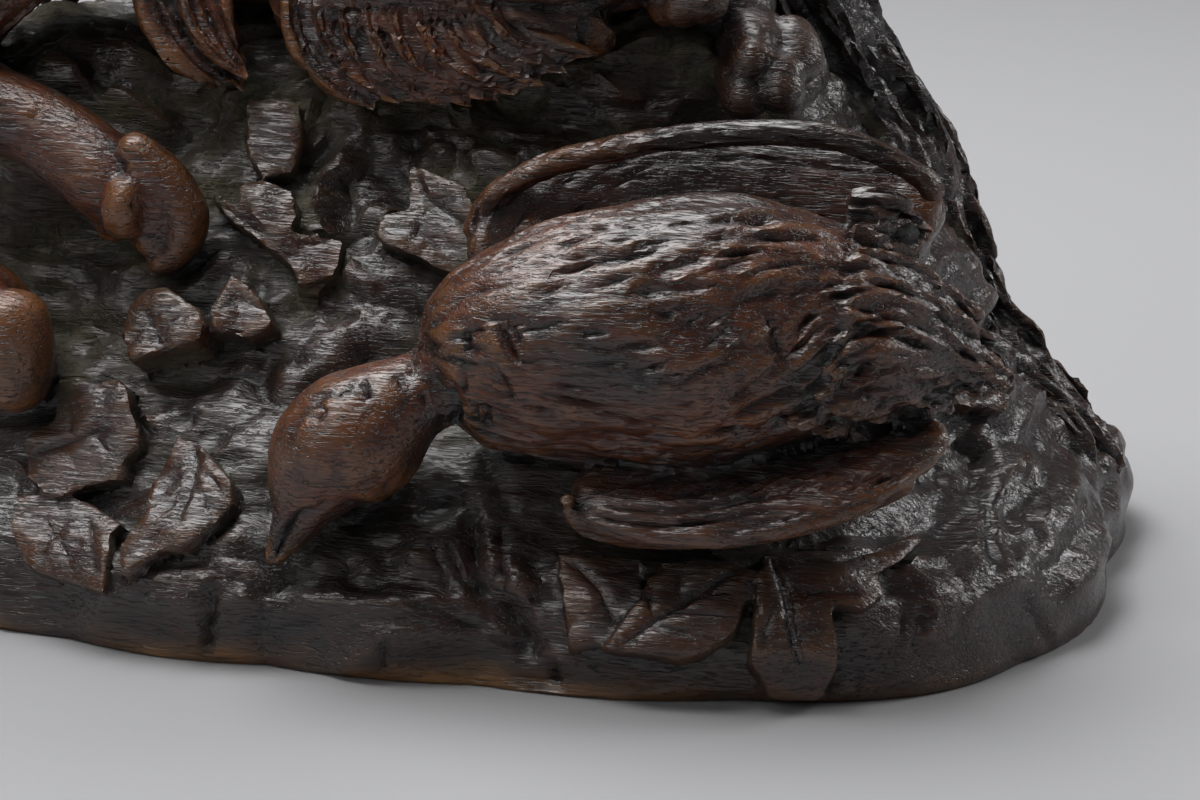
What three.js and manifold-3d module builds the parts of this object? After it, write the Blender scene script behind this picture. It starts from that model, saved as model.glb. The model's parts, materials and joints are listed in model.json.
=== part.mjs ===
// A long-haired hunting dog lying on a rocky, leaf-strewn mound, with a dead game bird on the slope
// below its forepaws, all carved from one block of dark stained wood.
// Millimetres, +Z up. The origin is at the middle of the mound's flat underside, the dog faces -X,
// and the side with the bird faces -Y.
import * as THREE from "three";
import { mergeVertices } from "three/addons/utils/BufferGeometryUtils.js";
import Module from "manifold-3d";

const wasm = await Module();
wasm.setup();

// Driving dimensions of the mound: its footprint, and the upright axis that its levels are measured from.
const HALF_LENGTH = 175.5;
const DEPTH_FRONT = 126;
const DEPTH_BACK = 84;
const AXIS_Y = 18;
const MOUND_TOP = 130;
const MOUND_SIDES = 48;
// How square each corner is, at the foot and at the top.
const FRONT_RIGHT_CORNER = [3.4, 2.4];
const FRONT_LEFT_CORNER = [2.4, 3.2];
const BACK_CORNERS = [2.4, 2.4];

// Each level of the mound: its height, then its reach to the right, left, front and back of the axis.
const MOUND_LEVELS = [
  [0, HALF_LENGTH - 2, HALF_LENGTH - 2, DEPTH_FRONT - 2, DEPTH_BACK - 2],
  [3, HALF_LENGTH, HALF_LENGTH, DEPTH_FRONT, DEPTH_BACK],
  [14, HALF_LENGTH, HALF_LENGTH, DEPTH_FRONT, DEPTH_BACK],
  [21, 170, 170, 121, 81],
  [36, 151, 158, 104, 70],
  [56, 135, 145, 87, 63],
  [78, 125, 136, 69, 57],
  [98, 113, 127, 53, 51],
  [113, 99, 117, 42, 45],
  [123, 84, 102, 31, 36],
  [128, 62, 66, 18, 22],
];

const LEAF_THICKNESS = 4;
const TOE_RADIUS = 6;

const DARK_WOOD = { color: 0x3a1f14, roughness: 0.42, metalness: 0 };

// How far one level reaches at an angle round the axis: a quarter of a squared oval in each corner,
// with the bays and shoulders of broken rock, and shallow scallops round the foot.
function reachAt([height, right, left, front, back], angle) {
  const share = height / MOUND_TOP;
  const c = Math.cos(angle);
  const s = Math.sin(angle);
  const [foot, top] = s > 0 ? BACK_CORNERS : c > 0 ? FRONT_RIGHT_CORNER : FRONT_LEFT_CORNER;
  const n = foot + (top - foot) * share;
  const alongX = Math.abs(c / (c > 0 ? right : left));
  const alongY = Math.abs(s / (s > 0 ? back : front));
  const reach = (alongX ** n + alongY ** n) ** (-1 / n);
  const roughness = 0.02 * Math.sin(Math.PI * Math.min(1, share * 1.4));
  const rock = roughness * (Math.sin(7 * angle + 5 * share) + Math.sin(12 * angle - 9 * share));
  const scallops = 0.02 * Math.max(0, 1 - height / 40) * (Math.abs(Math.sin(8 * angle + 0.6)) - 1);
  return reach * (1 + rock + scallops);
}

// The point of the mound's side at an angle and a height, between the two nearest levels.
function onMound(angle, height) {
  const above = MOUND_LEVELS.findIndex(([level]) => level > height);
  const [low, high] = [MOUND_LEVELS[above - 1], MOUND_LEVELS[above]];
  const share = (height - low[0]) / (high[0] - low[0]);
  const reach = reachAt(low, angle) * (1 - share) + reachAt(high, angle) * share;
  return new THREE.Vector3(reach * Math.cos(angle), AXIS_Y + reach * Math.sin(angle), height);
}

// A closed solid for manifold-3d from a three.js geometry.
function solid(geometry) {
  const bare = geometry.clone();
  bare.deleteAttribute("normal");
  bare.deleteAttribute("uv");
  const merged = mergeVertices(bare, 1e-3);
  const made = new wasm.Manifold(
    new wasm.Mesh({
      numProp: 3,
      vertProperties: merged.attributes.position.array,
      triVerts: new Uint32Array(merged.index.array),
    }),
  );
  return made;
}

// The mound: a cylinder whose rings are pushed out to the levels, closed by its flat underside.
function mound() {
  const last = MOUND_LEVELS.length - 1;
  const geometry = new THREE.CylinderGeometry(1, 1, last, MOUND_SIDES, last, false);
  geometry.rotateX(Math.PI / 2);
  geometry.translate(0, 0, last / 2);
  const position = geometry.attributes.position;
  for (let i = 0; i < position.count; i++) {
    const x = position.getX(i);
    const y = position.getY(i);
    const level = MOUND_LEVELS[Math.round(position.getZ(i))];
    const isCentre = Math.hypot(x, y) < 0.5;
    const angle = Math.atan2(y, x);
    const reach = isCentre ? 0 : reachAt(level, angle);
    const crown = isCentre && level[0] > 0 ? MOUND_TOP : level[0];
    position.setXYZ(i, reach * Math.cos(angle), AXIS_Y + reach * Math.sin(angle), crown);
  }
  return solid(geometry);
}

// A rounded limb: a sphere stretched along the smooth curve through its stations, each
// [x, y, z, half width, half height], with ends as round as they are wide. The width lies across both
// the curve and the up direction.
function limb(stations, { around = 8, steps = 1, up = [0, 0, 1], capRings = 2 } = {}) {
  const path = new THREE.CatmullRomCurve3(stations.map(([x, y, z]) => new THREE.Vector3(x, y, z)));
  const girth = new THREE.CatmullRomCurve3(stations.map(([, , , w, h]) => new THREE.Vector3(w, h, 0)));
  const upward = new THREE.Vector3(...up).normalize();
  const length = path.getLength();
  const capOf = ([, , , w, h]) => Math.min(0.3, Math.sqrt(w * h) / length);
  const startCap = capOf(stations[0]);
  const endCap = capOf(stations[stations.length - 1]);
  const rows = steps * (stations.length - 1) + 2 * capRings;
  const geometry = new THREE.SphereGeometry(1, around, rows);
  const position = geometry.attributes.position;
  for (let i = 0; i < position.count; i++) {
    const row = Math.round((Math.acos(THREE.MathUtils.clamp(position.getY(i), -1, 1)) / Math.PI) * rows);
    const turn = Math.atan2(position.getZ(i), position.getX(i));
    const fromPole = Math.min(row, rows - row);
    const onCap = capRings === 1 ? 0.6 * fromPole : [0, 0.3, 1][fromPole];
    const share = (row - capRings) / (rows - 2 * capRings);
    let u = startCap + (1 - startCap - endCap) * share;
    if (row < capRings) u = onCap * startCap;
    if (row > rows - capRings) u = 1 - onCap * endCap;
    const roundEnd = fromPole < capRings || capRings === 1 ? Math.sqrt(1 - (1 - Math.min(1, onCap)) ** 2) : 1;
    const t = path.getUtoTmapping(u);
    const tangent = path.getTangent(t);
    const side = new THREE.Vector3().crossVectors(upward, tangent).normalize();
    const over = new THREE.Vector3().crossVectors(tangent, side);
    const size = girth.getPoint(t);
    const point = path
      .getPoint(t)
      .addScaledVector(side, size.x * roundEnd * Math.cos(turn))
      .addScaledVector(over, size.y * roundEnd * Math.sin(turn));
    position.setXYZ(i, point.x, point.y, point.z);
  }
  const made = solid(geometry);
  if (made.volume() > 0) return made;
  const index = geometry.index.array;
  for (let i = 0; i < index.length; i += 3) [index[i + 1], index[i + 2]] = [index[i + 2], index[i + 1]];
  return solid(geometry);
}

// A leaf: a lobed plate lying on the mound at an angle and a height, its tip turned from the level.
function leaf([angle, height, size, turn]) {
  const shape = new THREE.Shape();
  const points = 15;
  for (let i = 0; i < points; i++) {
    const around = (2 * Math.PI * i) / points;
    const pointed = 1 + 0.28 * Math.cos(around);
    const lobes = 1 + 0.13 * Math.cos(5 * around);
    const reach = 0.5 * size * pointed * lobes;
    const x = reach * Math.cos(around);
    const y = reach * Math.sin(around) * 0.86;
    if (i === 0) shape.moveTo(x, y);
    else shape.lineTo(x, y);
  }
  shape.closePath();
  const geometry = new THREE.ExtrudeGeometry(shape, { depth: LEAF_THICKNESS * 3, bevelEnabled: false });
  geometry.translate(0, 0, -LEAF_THICKNESS * 2);
  const at = onMound(angle, height);
  const along = onMound(angle + 0.06, height).sub(onMound(angle - 0.06, height));
  const upward = onMound(angle, height + 8).sub(onMound(angle, height - 8));
  const place = new THREE.Object3D();
  place.up.set(0, 0, 1);
  place.position.copy(at);
  place.lookAt(at.clone().add(along.cross(upward).normalize()));
  place.rotateZ(turn);
  place.updateMatrix();
  geometry.applyMatrix4(place.matrix);
  return solid(geometry);
}

function leaves() {
  return [
    [-2.16, 42, 27, 0.2],
    [-2.06, 21, 25, 1.2],
    [-2.04, 65, 36, 0.5],
    [-1.87, 32, 28, 1.5],
    [-0.97, 20, 40, 0.2],
    [-0.75, 20, 46, 1.9],
    [-1.36, 88, 24, 0.9],
    [-2.45, 42, 34, 2.2],
    [-2.95, 44, 34, 0.4],
    [2.3, 50, 34, 0.8],
  ].map(leaf);
}

// The bird lies on its back on the slope, its neck bent over and its bill pointing down.
function bird() {
  const body = limb(
    [
      [20, -86, 67, 11, 13],
      [32, -85, 71, 20, 22],
      [56, -81, 76, 26, 30],
      [86, -77, 80, 27, 34],
      [114, -71, 81, 22, 30],
      [134, -64, 77, 14, 20],
      [148, -58, 72, 8, 12],
      [155, -57, 68, 5, 6],
    ],
    { around: 12, steps: 2 },
  );
  const head = limb(
    [
      [30, -86, 70, 12, 13],
      [18, -89, 65, 12, 12],
      [8, -92, 56, 15, 15],
      [-1, -95, 46, 12, 13],
      [-6, -99, 36, 6, 7],
      [-9, -101, 24, 1.6, 1.6],
    ],
    { around: 10, up: [0, -1, 0.3] },
  );
  const farWing = limb(
    [
      [30, -60, 80, 8, 10],
      [38, -53, 91, 8, 13],
      [56, -46, 97, 8, 15],
      [82, -41, 100, 9, 16],
      [108, -39, 100, 8, 15],
      [124, -39, 97, 6, 13],
      [131, -41, 94, 4, 8],
    ],
    { up: [0, 0.3, 1] },
  );
  const nearWing = limb(
    [
      [60, -92, 44, 6, 5],
      [70, -93, 42, 13, 7],
      [92, -92, 42, 16, 8],
      [116, -87, 47, 14, 7],
      [132, -79, 54, 9, 5],
      [139, -75, 58, 4, 3],
    ],
    { up: [0, -0.4, 0.9] },
  );
  const tail = [
    [[118, -52, 98], [137, -50, 95], 6],
    [[126, -56, 88], [147, -54, 83], 7],
    [[130, -58, 78], [154, -56, 70], 7],
    [[122, -64, 70], [148, -63, 62], 7],
    [[114, -68, 64], [136, -69, 58], 6],
  ].map(([root, tip, radius]) => lock(root, midway(root, tip), tip, radius));
  return [body, head, farWing, nearWing, ...tail];
}

function midway(a, b) {
  return a.map((value, k) => (value + b[k]) / 2);
}

// A paw: a rounded foot at the end of a leg, with toes that curl down from it one beside the other.
function paw({ from, to, radius, spread, drop, toes = 4 }) {
  const start = new THREE.Vector3(...from);
  const end = new THREE.Vector3(...to);
  const forward = end.clone().sub(start);
  const across = new THREE.Vector3(...spread).normalize();
  const down = new THREE.Vector3(...drop).normalize();
  const foot = limb(
    [
      [...from, radius * 0.95, radius * 0.9],
      [...midway(from, to), radius, radius * 0.9],
      [...to, radius * 0.9, radius * 0.75],
    ],
    { up: drop },
  );
  const parts = [foot];
  for (let i = 0; i < toes; i++) {
    const place = (i / (toes - 1)) * 2 - 1;
    const ahead = 1 - 0.22 * place * place;
    const at = (along, sideways, below) =>
      start
        .clone()
        .addScaledVector(forward, along * ahead)
        .addScaledVector(across, sideways)
        .addScaledVector(down, below)
        .toArray();
    const tip = TOE_RADIUS * 0.6;
    parts.push(
      limb(
        [
          [...at(0.62, place * radius * 0.62, -radius * 0.1), TOE_RADIUS, TOE_RADIUS],
          [...at(1.0, place * radius * 0.8, -radius * 0.05), TOE_RADIUS, TOE_RADIUS],
          [...at(1.22, place * radius * 0.86, radius * 0.5), TOE_RADIUS, TOE_RADIUS],
          [...at(1.18, place * radius * 0.82, radius * 1.1), tip, tip],
        ],
        { around: 5, up: spread, capRings: 1 },
      ),
    );
  }
  return parts;
}

// The near foreleg folds at the wrist and its paw hangs back over the edge; the far one hangs lower.
function forelegs() {
  const nearPaw = { from: [-82, -48, 107], to: [-53, -51, 95], radius: 14, spread: [0.1, -0.85, 0.5], drop: [-0.25, -0.2, -0.95] };
  const farPaw = { from: [-102, -65, 73], to: [-80, -69, 63], radius: 13, spread: [0.1, -0.8, 0.6], drop: [-0.2, -0.3, -0.93] };
  return [
    limb(
      [
        [-70, 0, 192, 16, 26],
        [-72, -18, 172, 16, 20],
        [-78, -30, 155, 12, 14],
      ],
      { up: [1, 0, 0.3] },
    ),
    limb([
      [-74, -29, 157, 13, 13],
      [-94, -36, 144, 12, 12],
      [-112, -40, 124, 11, 11],
    ]),
    limb([
      [-114, -41, 123, 11, 11],
      [-100, -45, 114, 12, 13],
      [-80, -48, 107, 12, 12],
    ]),
    ...paw(nearPaw),
    limb([
      [-88, -4, 164, 15, 20],
      [-106, -24, 138, 13, 14],
      [-120, -42, 112, 12, 12],
      [-124, -54, 86, 11, 11],
    ]),
    limb([
      [-126, -54, 86, 11, 11],
      [-116, -61, 78, 11, 11],
      [-100, -66, 73, 12, 11],
    ]),
    ...paw(farPaw),
  ];
}

// The hips roll so that both hind feet come out towards the front over the boulder.
function hindlegs() {
  const nearPaw = { from: [70, -12, 149], to: [62, -22, 148], radius: 10, spread: [0.85, -0.5, 0.05], drop: [-0.1, -0.35, -0.93] };
  const farPaw = { from: [80, -10, 134], to: [90, -22, 126], radius: 9, spread: [0.7, 0.5, 0.5], drop: [0.3, -0.4, -0.85], toes: 3 };
  return [
    limb([
      [64, 0, 174, 24, 22],
      [42, -15, 168, 27, 25],
      [20, -25, 160, 21, 19],
      [6, -29, 154, 12, 12],
    ]),
    limb([
      [6, -29, 152, 12, 12],
      [32, -27, 147, 13, 12],
      [56, -18, 147, 11, 10],
      [74, -8, 150, 8, 8],
    ]),
    ...paw(nearPaw),
    limb([
      [60, 0, 146, 10, 10],
      [74, -4, 140, 10, 10],
      [84, -14, 134, 9, 9],
    ]),
    ...paw(farPaw),
  ];
}

// The body, from the front of the chest to the rump, and the neck.
function trunk() {
  return [
    limb(
      [
        [-96, 3, 174, 20, 27],
        [-84, 4, 174, 30, 40],
        [-62, 6, 175, 36, 46],
        [-40, 9, 173, 37, 46],
        [-8, 11, 171, 35, 42],
        [24, 13, 169, 32, 38],
        [50, 14, 167, 33, 38],
        [70, 14, 163, 28, 32],
        [80, 14, 160, 18, 22],
      ],
      { around: 12, steps: 2 },
    ),
    limb(
      [
        [-62, 6, 184, 30, 34],
        [-86, 2, 208, 27, 31],
        [-102, -4, 234, 22, 26],
        [-108, -8, 254, 19, 21],
      ],
      { around: 10, up: [1, 0, 0.4] },
    ),
  ];
}

// Boulders that stand up from the mound: one at the right under the hips and hind feet, one at the
// left that carries the forelegs, and one behind the bird.
function boulders() {
  return [
    [54, 4, 114, 44, 30, 24],
    [-86, -8, 94, 42, 38, 34],
    [78, -16, 84, 52, 28, 25],
  ].map(([x, y, z, halfX, halfY, halfZ]) => {
    const geometry = new THREE.SphereGeometry(1, 10, 6);
    geometry.scale(halfX, halfY, halfZ);
    geometry.translate(x, y, z);
    return solid(geometry);
  });
}

// The head looks to the left and a little towards the front, along its own line from nape to nose.
function head() {
  const nape = new THREE.Vector3(-104, -8, 268);
  const look = new THREE.Vector3(-0.9, -0.42, -0.12).normalize();
  const cheek = new THREE.Vector3(0, 0, 1).cross(look).normalize();
  const crown = look.clone().cross(cheek);
  const at = (along, sideways, above) =>
    nape.clone().addScaledVector(look, along).addScaledVector(cheek, sideways).addScaledVector(crown, above).toArray();
  const skull = limb(
    [
      [...at(6, 0, -2), 18, 17],
      [...at(16, 0, 0), 20, 19],
      [...at(28, 0, -2), 18, 17],
      [...at(38, 0, -6), 14, 14],
      [...at(52, 0, -9), 12, 12],
      [...at(68, 0, -10), 11, 12],
    ],
    { around: 10 },
  );
  const jaw = limb([
    [...at(22, 0, -14), 13, 10],
    [...at(42, 0, -18), 10, 8],
    [...at(62, 0, -19), 8, 6],
  ]);
  const nose = limb(
    [
      [...at(58, 0, -4), 5, 5],
      [...at(71, 0, -3), 6, 5],
    ],
    { around: 6 },
  );
  const parts = [skull, jaw, nose];
  for (const side of [-1, 1]) {
    parts.push(
      limb(
        [
          [...at(12, side * 16, 8), 4, 8],
          [...at(10, side * 21, -6), 5, 14],
          [...at(8, side * 23, -26), 5.5, 19],
          [...at(6, side * 24, -46), 5, 18],
          [...at(8, side * 24, -64), 3, 9],
        ],
        { up: look.toArray() },
      ),
    );
  }
  return parts;
}

// A lock of hair: a slim tapering limb through three points.
function lock(root, bend, tip, width, up = [0, 1, 0]) {
  const sizes = [width, width, 1.2];
  const stations = [root, bend, tip].map((point, k) => [...point, sizes[k], sizes[k]]);
  return limb(stations, { around: 5, up, capRings: 1 });
}

// Long hair that hangs from the chest, elbow, belly and thigh over the edge of the rock.
function hair() {
  const fringe = limb(
    [
      [-30, -22, 142, 8, 14],
      [-14, -28, 137, 10, 19],
      [8, -30, 137, 10, 18],
      [28, -31, 136, 9, 14],
      [44, -29, 133, 7, 9],
      [54, -28, 129, 3, 3],
    ],
    { around: 8 },
  );
  return [
    fringe,
    lock([-62, -26, 158], [-54, -31, 136], [-36, -32, 116], 7),
    lock([-50, -28, 152], [-46, -34, 134], [-42, -33, 118], 6),
    lock([-24, -26, 148], [-24, -34, 130], [-7, -36, 114], 7),
    lock([-8, -28, 146], [-2, -38, 132], [10, -36, 116], 6),
    lock([8, -28, 146], [14, -38, 132], [24, -36, 118], 6),
    lock([-104, 2, 168], [-108, -2, 150], [-104, -8, 128], 9),
    lock([-98, 14, 162], [-102, 14, 146], [-100, 12, 122], 9),
    lock([-34, 36, 152], [-30, 44, 136], [-20, 46, 118], 9),
    lock([0, 38, 150], [6, 46, 134], [18, 46, 116], 9),
    lock([36, 40, 152], [42, 47, 134], [54, 46, 114], 9),
  ];
}

// The long feathered tail, draped over the right-hand end of the rock.
function tail() {
  const core = limb(
    [
      [66, 18, 166, 12, 14],
      [84, 27, 140, 13, 14],
      [97, 35, 114, 13, 15],
      [111, 39, 92, 13, 16],
      [118, 39, 70, 13, 17],
      [126, 37, 48, 13, 15],
      [144, 34, 33, 13, 12],
      [162, 28, 22, 8, 7],
    ],
    { around: 8, steps: 2, up: [0, 1, 0] },
  );
  return [
    core,
    lock([134, 26, 44], [152, 20, 34], [168, 14, 20], 9, [0, 0, 1]),
    lock([140, 36, 42], [156, 32, 34], [173, 28, 18], 9, [0, 0, 1]),
    lock([134, 44, 44], [150, 46, 34], [164, 44, 20], 9, [0, 0, 1]),
    lock([96, 46, 110], [106, 56, 92], [114, 60, 70], 9, [1, 0, 0]),
    lock([112, 50, 84], [118, 60, 66], [128, 62, 46], 9, [1, 0, 0]),
  ];
}

// Everything joined into one block, then cut level with its flat underside.
const pieces = [
  mound(),
  ...boulders(),
  ...leaves(),
  ...trunk(),
  ...head(),
  ...forelegs(),
  ...hindlegs(),
  ...hair(),
  ...tail(),
  ...bird(),
];
const above = new THREE.BoxGeometry(800, 800, 800).translate(0, 0, 400);
const whole = pieces.reduce((sum, piece) => sum.add(piece)).intersect(solid(above));

// The finished block as a three.js geometry.
function geometryOf(manifold) {
  const mesh = manifold.getMesh();
  const geometry = new THREE.BufferGeometry();
  geometry.setAttribute("position", new THREE.BufferAttribute(new Float32Array(mesh.vertProperties), 3));
  geometry.setIndex(new THREE.BufferAttribute(mesh.triVerts, 1));
  geometry.computeVertexNormals();
  return geometry;
}

const carving = new THREE.Mesh(geometryOf(whole), new THREE.MeshStandardMaterial(DARK_WOOD));
carving.name = "carving";

const group = new THREE.Group();
group.add(carving);
export default group;
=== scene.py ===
import json
import math
from itertools import product

import bpy
import numpy as np
from mathutils import Matrix, Vector
from mathutils.bvhtree import BVHTree
from mathutils.geometry import delaunay_2d_cdt
from mathutils.kdtree import KDTree

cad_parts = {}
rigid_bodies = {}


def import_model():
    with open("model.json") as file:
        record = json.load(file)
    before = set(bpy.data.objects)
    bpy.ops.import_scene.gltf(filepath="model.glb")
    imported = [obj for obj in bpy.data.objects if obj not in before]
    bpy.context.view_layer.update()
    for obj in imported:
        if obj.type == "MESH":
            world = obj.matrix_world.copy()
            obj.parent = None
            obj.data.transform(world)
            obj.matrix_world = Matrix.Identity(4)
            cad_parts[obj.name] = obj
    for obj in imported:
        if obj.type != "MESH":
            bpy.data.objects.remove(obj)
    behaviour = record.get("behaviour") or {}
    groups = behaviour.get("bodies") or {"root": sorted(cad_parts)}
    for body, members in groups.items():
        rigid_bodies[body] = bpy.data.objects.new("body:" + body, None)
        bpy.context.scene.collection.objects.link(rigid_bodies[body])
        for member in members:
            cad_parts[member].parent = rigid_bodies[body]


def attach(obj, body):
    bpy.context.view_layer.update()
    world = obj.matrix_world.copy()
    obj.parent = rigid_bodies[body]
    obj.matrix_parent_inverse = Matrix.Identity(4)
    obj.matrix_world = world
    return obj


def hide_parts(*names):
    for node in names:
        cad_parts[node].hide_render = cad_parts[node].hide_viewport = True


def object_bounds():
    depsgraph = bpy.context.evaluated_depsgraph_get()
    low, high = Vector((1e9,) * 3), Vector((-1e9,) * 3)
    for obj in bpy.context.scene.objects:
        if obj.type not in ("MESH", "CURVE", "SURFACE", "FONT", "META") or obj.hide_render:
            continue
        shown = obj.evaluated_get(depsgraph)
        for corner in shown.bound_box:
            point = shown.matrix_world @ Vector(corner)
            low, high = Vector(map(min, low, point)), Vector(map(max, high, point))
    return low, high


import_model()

cad_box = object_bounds()

# The view. The camera stands a little to the right of the front and looks down on the slope with the
# bird. What it sees is the carver's drawing, 270 by 180 mm, which is pasted on the front of the block:
# places on the drawing are (right, up) from its lower left corner. All sizes here are millimetres.
MM = 0.001
VIEW_TURN = math.radians(14)
VIEW_DROP = math.radians(18)
VIEW_DISTANCE = 750.0
VIEW_TARGET = np.array([62.0, -75.0, 60.0])
LENS = 100.0
SENSOR = 36.0
DRAWING = np.array([270.0, 180.0])

level_part = math.cos(VIEW_DROP)
view_back = np.array(
    [math.sin(VIEW_TURN) * level_part, -math.cos(VIEW_TURN) * level_part, math.sin(VIEW_DROP)]
)
view_right = np.array([math.cos(VIEW_TURN), math.sin(VIEW_TURN), 0.0])
view_up = np.cross(view_back, view_right)
eye = VIEW_TARGET + view_back * VIEW_DISTANCE

bpy.ops.object.camera_add()
camera = bpy.context.active_object
camera.name = "view"
camera.data.lens = LENS
camera.data.sensor_width = SENSOR
camera.data.clip_start = 0.02
camera.data.clip_end = 20
turned = Matrix((view_right, view_up, view_back)).transposed().to_4x4()
turned.translation = Vector(eye * MM)
camera.matrix_world = turned
bpy.context.scene.camera = camera


def on_drawing(points):
    """Where points of the block lie on the drawing."""
    away = points - eye
    share = VIEW_DISTANCE / -(away @ view_back)
    return np.stack([away @ view_right * share, away @ view_up * share], axis=1) + DRAWING / 2


def sight(place):
    """The direction in which the eye sees a place on the drawing."""
    right, up = np.asarray(place, float) - DRAWING / 2
    line = view_right * right + view_up * up - view_back * VIEW_DISTANCE
    return line / np.linalg.norm(line)


def behind(place, depth_y):
    """The point behind a place on the drawing that lies at a depth, measured along Y."""
    line = sight(place)
    return eye + line * (depth_y - eye[1]) / line[1]


# The studio: a plain pale floor that runs far back, one large soft light overhead and a little behind,
# which puts the grey shine on every face that looks up, and weak fill from the front.
FLOOR_SIZE = 16.0
FLOOR_GREY = "#A9A9AB"
SKY_STRENGTH = 0.09


def linear(code):
    """An sRGB hex colour as the linear numbers that a shader takes."""
    parts = [int(code[i : i + 2], 16) / 255 for i in (1, 3, 5)]
    return [p / 12.92 if p <= 0.04045 else ((p + 0.055) / 1.055) ** 2.4 for p in parts] + [1.0]


def light(name, place, aim, size, power, colour):
    """A rectangular soft light at a place, in metres, turned to its aim."""
    bpy.ops.object.light_add(type="AREA", location=place)
    lamp = bpy.context.active_object
    lamp.name = name
    lamp.data.shape = "RECTANGLE"
    lamp.data.size, lamp.data.size_y = size
    lamp.data.energy = power
    lamp.data.color = linear(colour)[:3]
    lamp.rotation_euler = (Vector(place) - Vector(aim)).to_track_quat("Z", "Y").to_euler()


bpy.ops.object.select_all(action="DESELECT")
bpy.ops.mesh.primitive_plane_add(size=FLOOR_SIZE, location=(0, 0, -0.0002))
floor = bpy.context.active_object
floor.name = "floor"
paper = bpy.data.materials.new("pale_floor")
paper.use_nodes = True
paper.node_tree.nodes["Principled BSDF"].inputs["Base Color"].default_value = linear(FLOOR_GREY)
paper.node_tree.nodes["Principled BSDF"].inputs["Roughness"].default_value = 0.9
paper.node_tree.nodes["Principled BSDF"].inputs["Specular IOR Level"].default_value = 0.2
floor.data.materials.append(paper)

light("overhead", (-0.36, 0.14, 1.12), (0.02, -0.02, 0.06), (1.1, 0.9), 21.0, "#FFFFFF")
light("front_left", (-0.9, -1.3, 1.1), (0.0, -0.05, 0.08), (0.9, 0.9), 3.0, "#FFFDFA")
light("right_back", (1.1, 0.5, 0.75), (0.1, 0.0, 0.06), (0.4, 0.6), 6.0, "#FFFFFF")
sky = bpy.data.worlds.new("studio")
sky.use_nodes = True
sky.node_tree.nodes["Background"].inputs["Color"].default_value = linear("#F2F4F7")
sky.node_tree.nodes["Background"].inputs["Strength"].default_value = SKY_STRENGTH
bpy.context.scene.world = sky
bpy.context.scene.view_settings.view_transform = "Standard"

# The rough block. The sculptor first roughs out every form, as rounded masses that run into each
# other: here each is a ball stretched along a line, and all are joined afterwards into one skin.
# Kinds of form, which later take different tool work.
GROUND, ROCK, LEAF, BIRD, BIRD_HEAD, WING, QUILL, COAT, SKIN, LOCK, TAIL, FACE = range(12)
forms = []          # each rough form: its object's name, kind, middle line and upward direction


def smooth_line(stations, step):
    """Rows a step apart on the smooth curve through the stations. The first three columns are a place."""
    stations = np.array(stations, float)
    first = 2 * stations[:1] - stations[1:2]
    last = 2 * stations[-1:] - stations[-2:-1]
    padded = np.vstack([first, stations, last])
    t = np.linspace(0, 1, 12, endpoint=False)[:, None]
    rows = []
    for a, b, c, d in zip(padded, padded[1:], padded[2:], padded[3:]):
        bend = (2 * a - 5 * b + 4 * c - d) * t**2 + (3 * b - a - 3 * c + d) * t**3
        rows.append(0.5 * (2 * b + (c - a) * t + bend))
    rows = np.vstack(rows + [stations[-1:]])
    travelled = np.concatenate([[0], np.cumsum(np.linalg.norm(np.diff(rows[:, :3], axis=0), axis=1))])
    marks = np.linspace(0, travelled[-1], max(4, round(travelled[-1] / step) + 1))
    return np.stack([np.interp(marks, travelled, column) for column in rows.T], axis=1)


def axes_along(line, up):
    """The direction of a line at each of its rows, and the directions across it and over it."""
    ahead = np.gradient(line[:, :3], axis=0)
    ahead /= np.linalg.norm(ahead, axis=1, keepdims=True)
    side = np.cross(np.asarray(up, float), ahead)
    side /= np.linalg.norm(side, axis=1, keepdims=True)
    return ahead, side, np.cross(ahead, side)


def read_points(made):
    """An object's vertices, in millimetres."""
    flat = np.empty(len(made.data.vertices) * 3, np.float32)
    made.data.vertices.foreach_get("co", flat)
    return flat.reshape(-1, 3).astype(float) / MM


def write_points(made, points):
    """Puts an object's vertices at places in millimetres."""
    made.data.vertices.foreach_set("co", (points * MM).astype(np.float32).ravel())
    made.data.update()


def keep_form(made, kind, line=None, up=(0, 0, 1)):
    """Notes a rough form, and marks its faces with its number, which the joined skin reads back."""
    made.name = f"rough_{len(forms)}"
    mark = made.data.attributes.new("form", "INT", "FACE")
    mark.data.foreach_set("value", np.full(len(made.data.polygons), len(forms), np.int32))
    forms.append({"name": made.name, "kind": kind, "line": line, "up": up})
    return made


def ball(around, rows):
    """A plain ball to stretch: the object, how far down each vertex lies, 0 to 1, and its turn."""
    bpy.ops.object.select_all(action="DESELECT")
    bpy.ops.mesh.primitive_uv_sphere_add(segments=around, ring_count=rows, radius=1)
    made = bpy.context.active_object
    unit = read_points(made) * MM
    down = np.arccos(np.clip(unit[:, 2], -1, 1)) / math.pi
    return made, down, np.arctan2(unit[:, 1], unit[:, 0])


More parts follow.
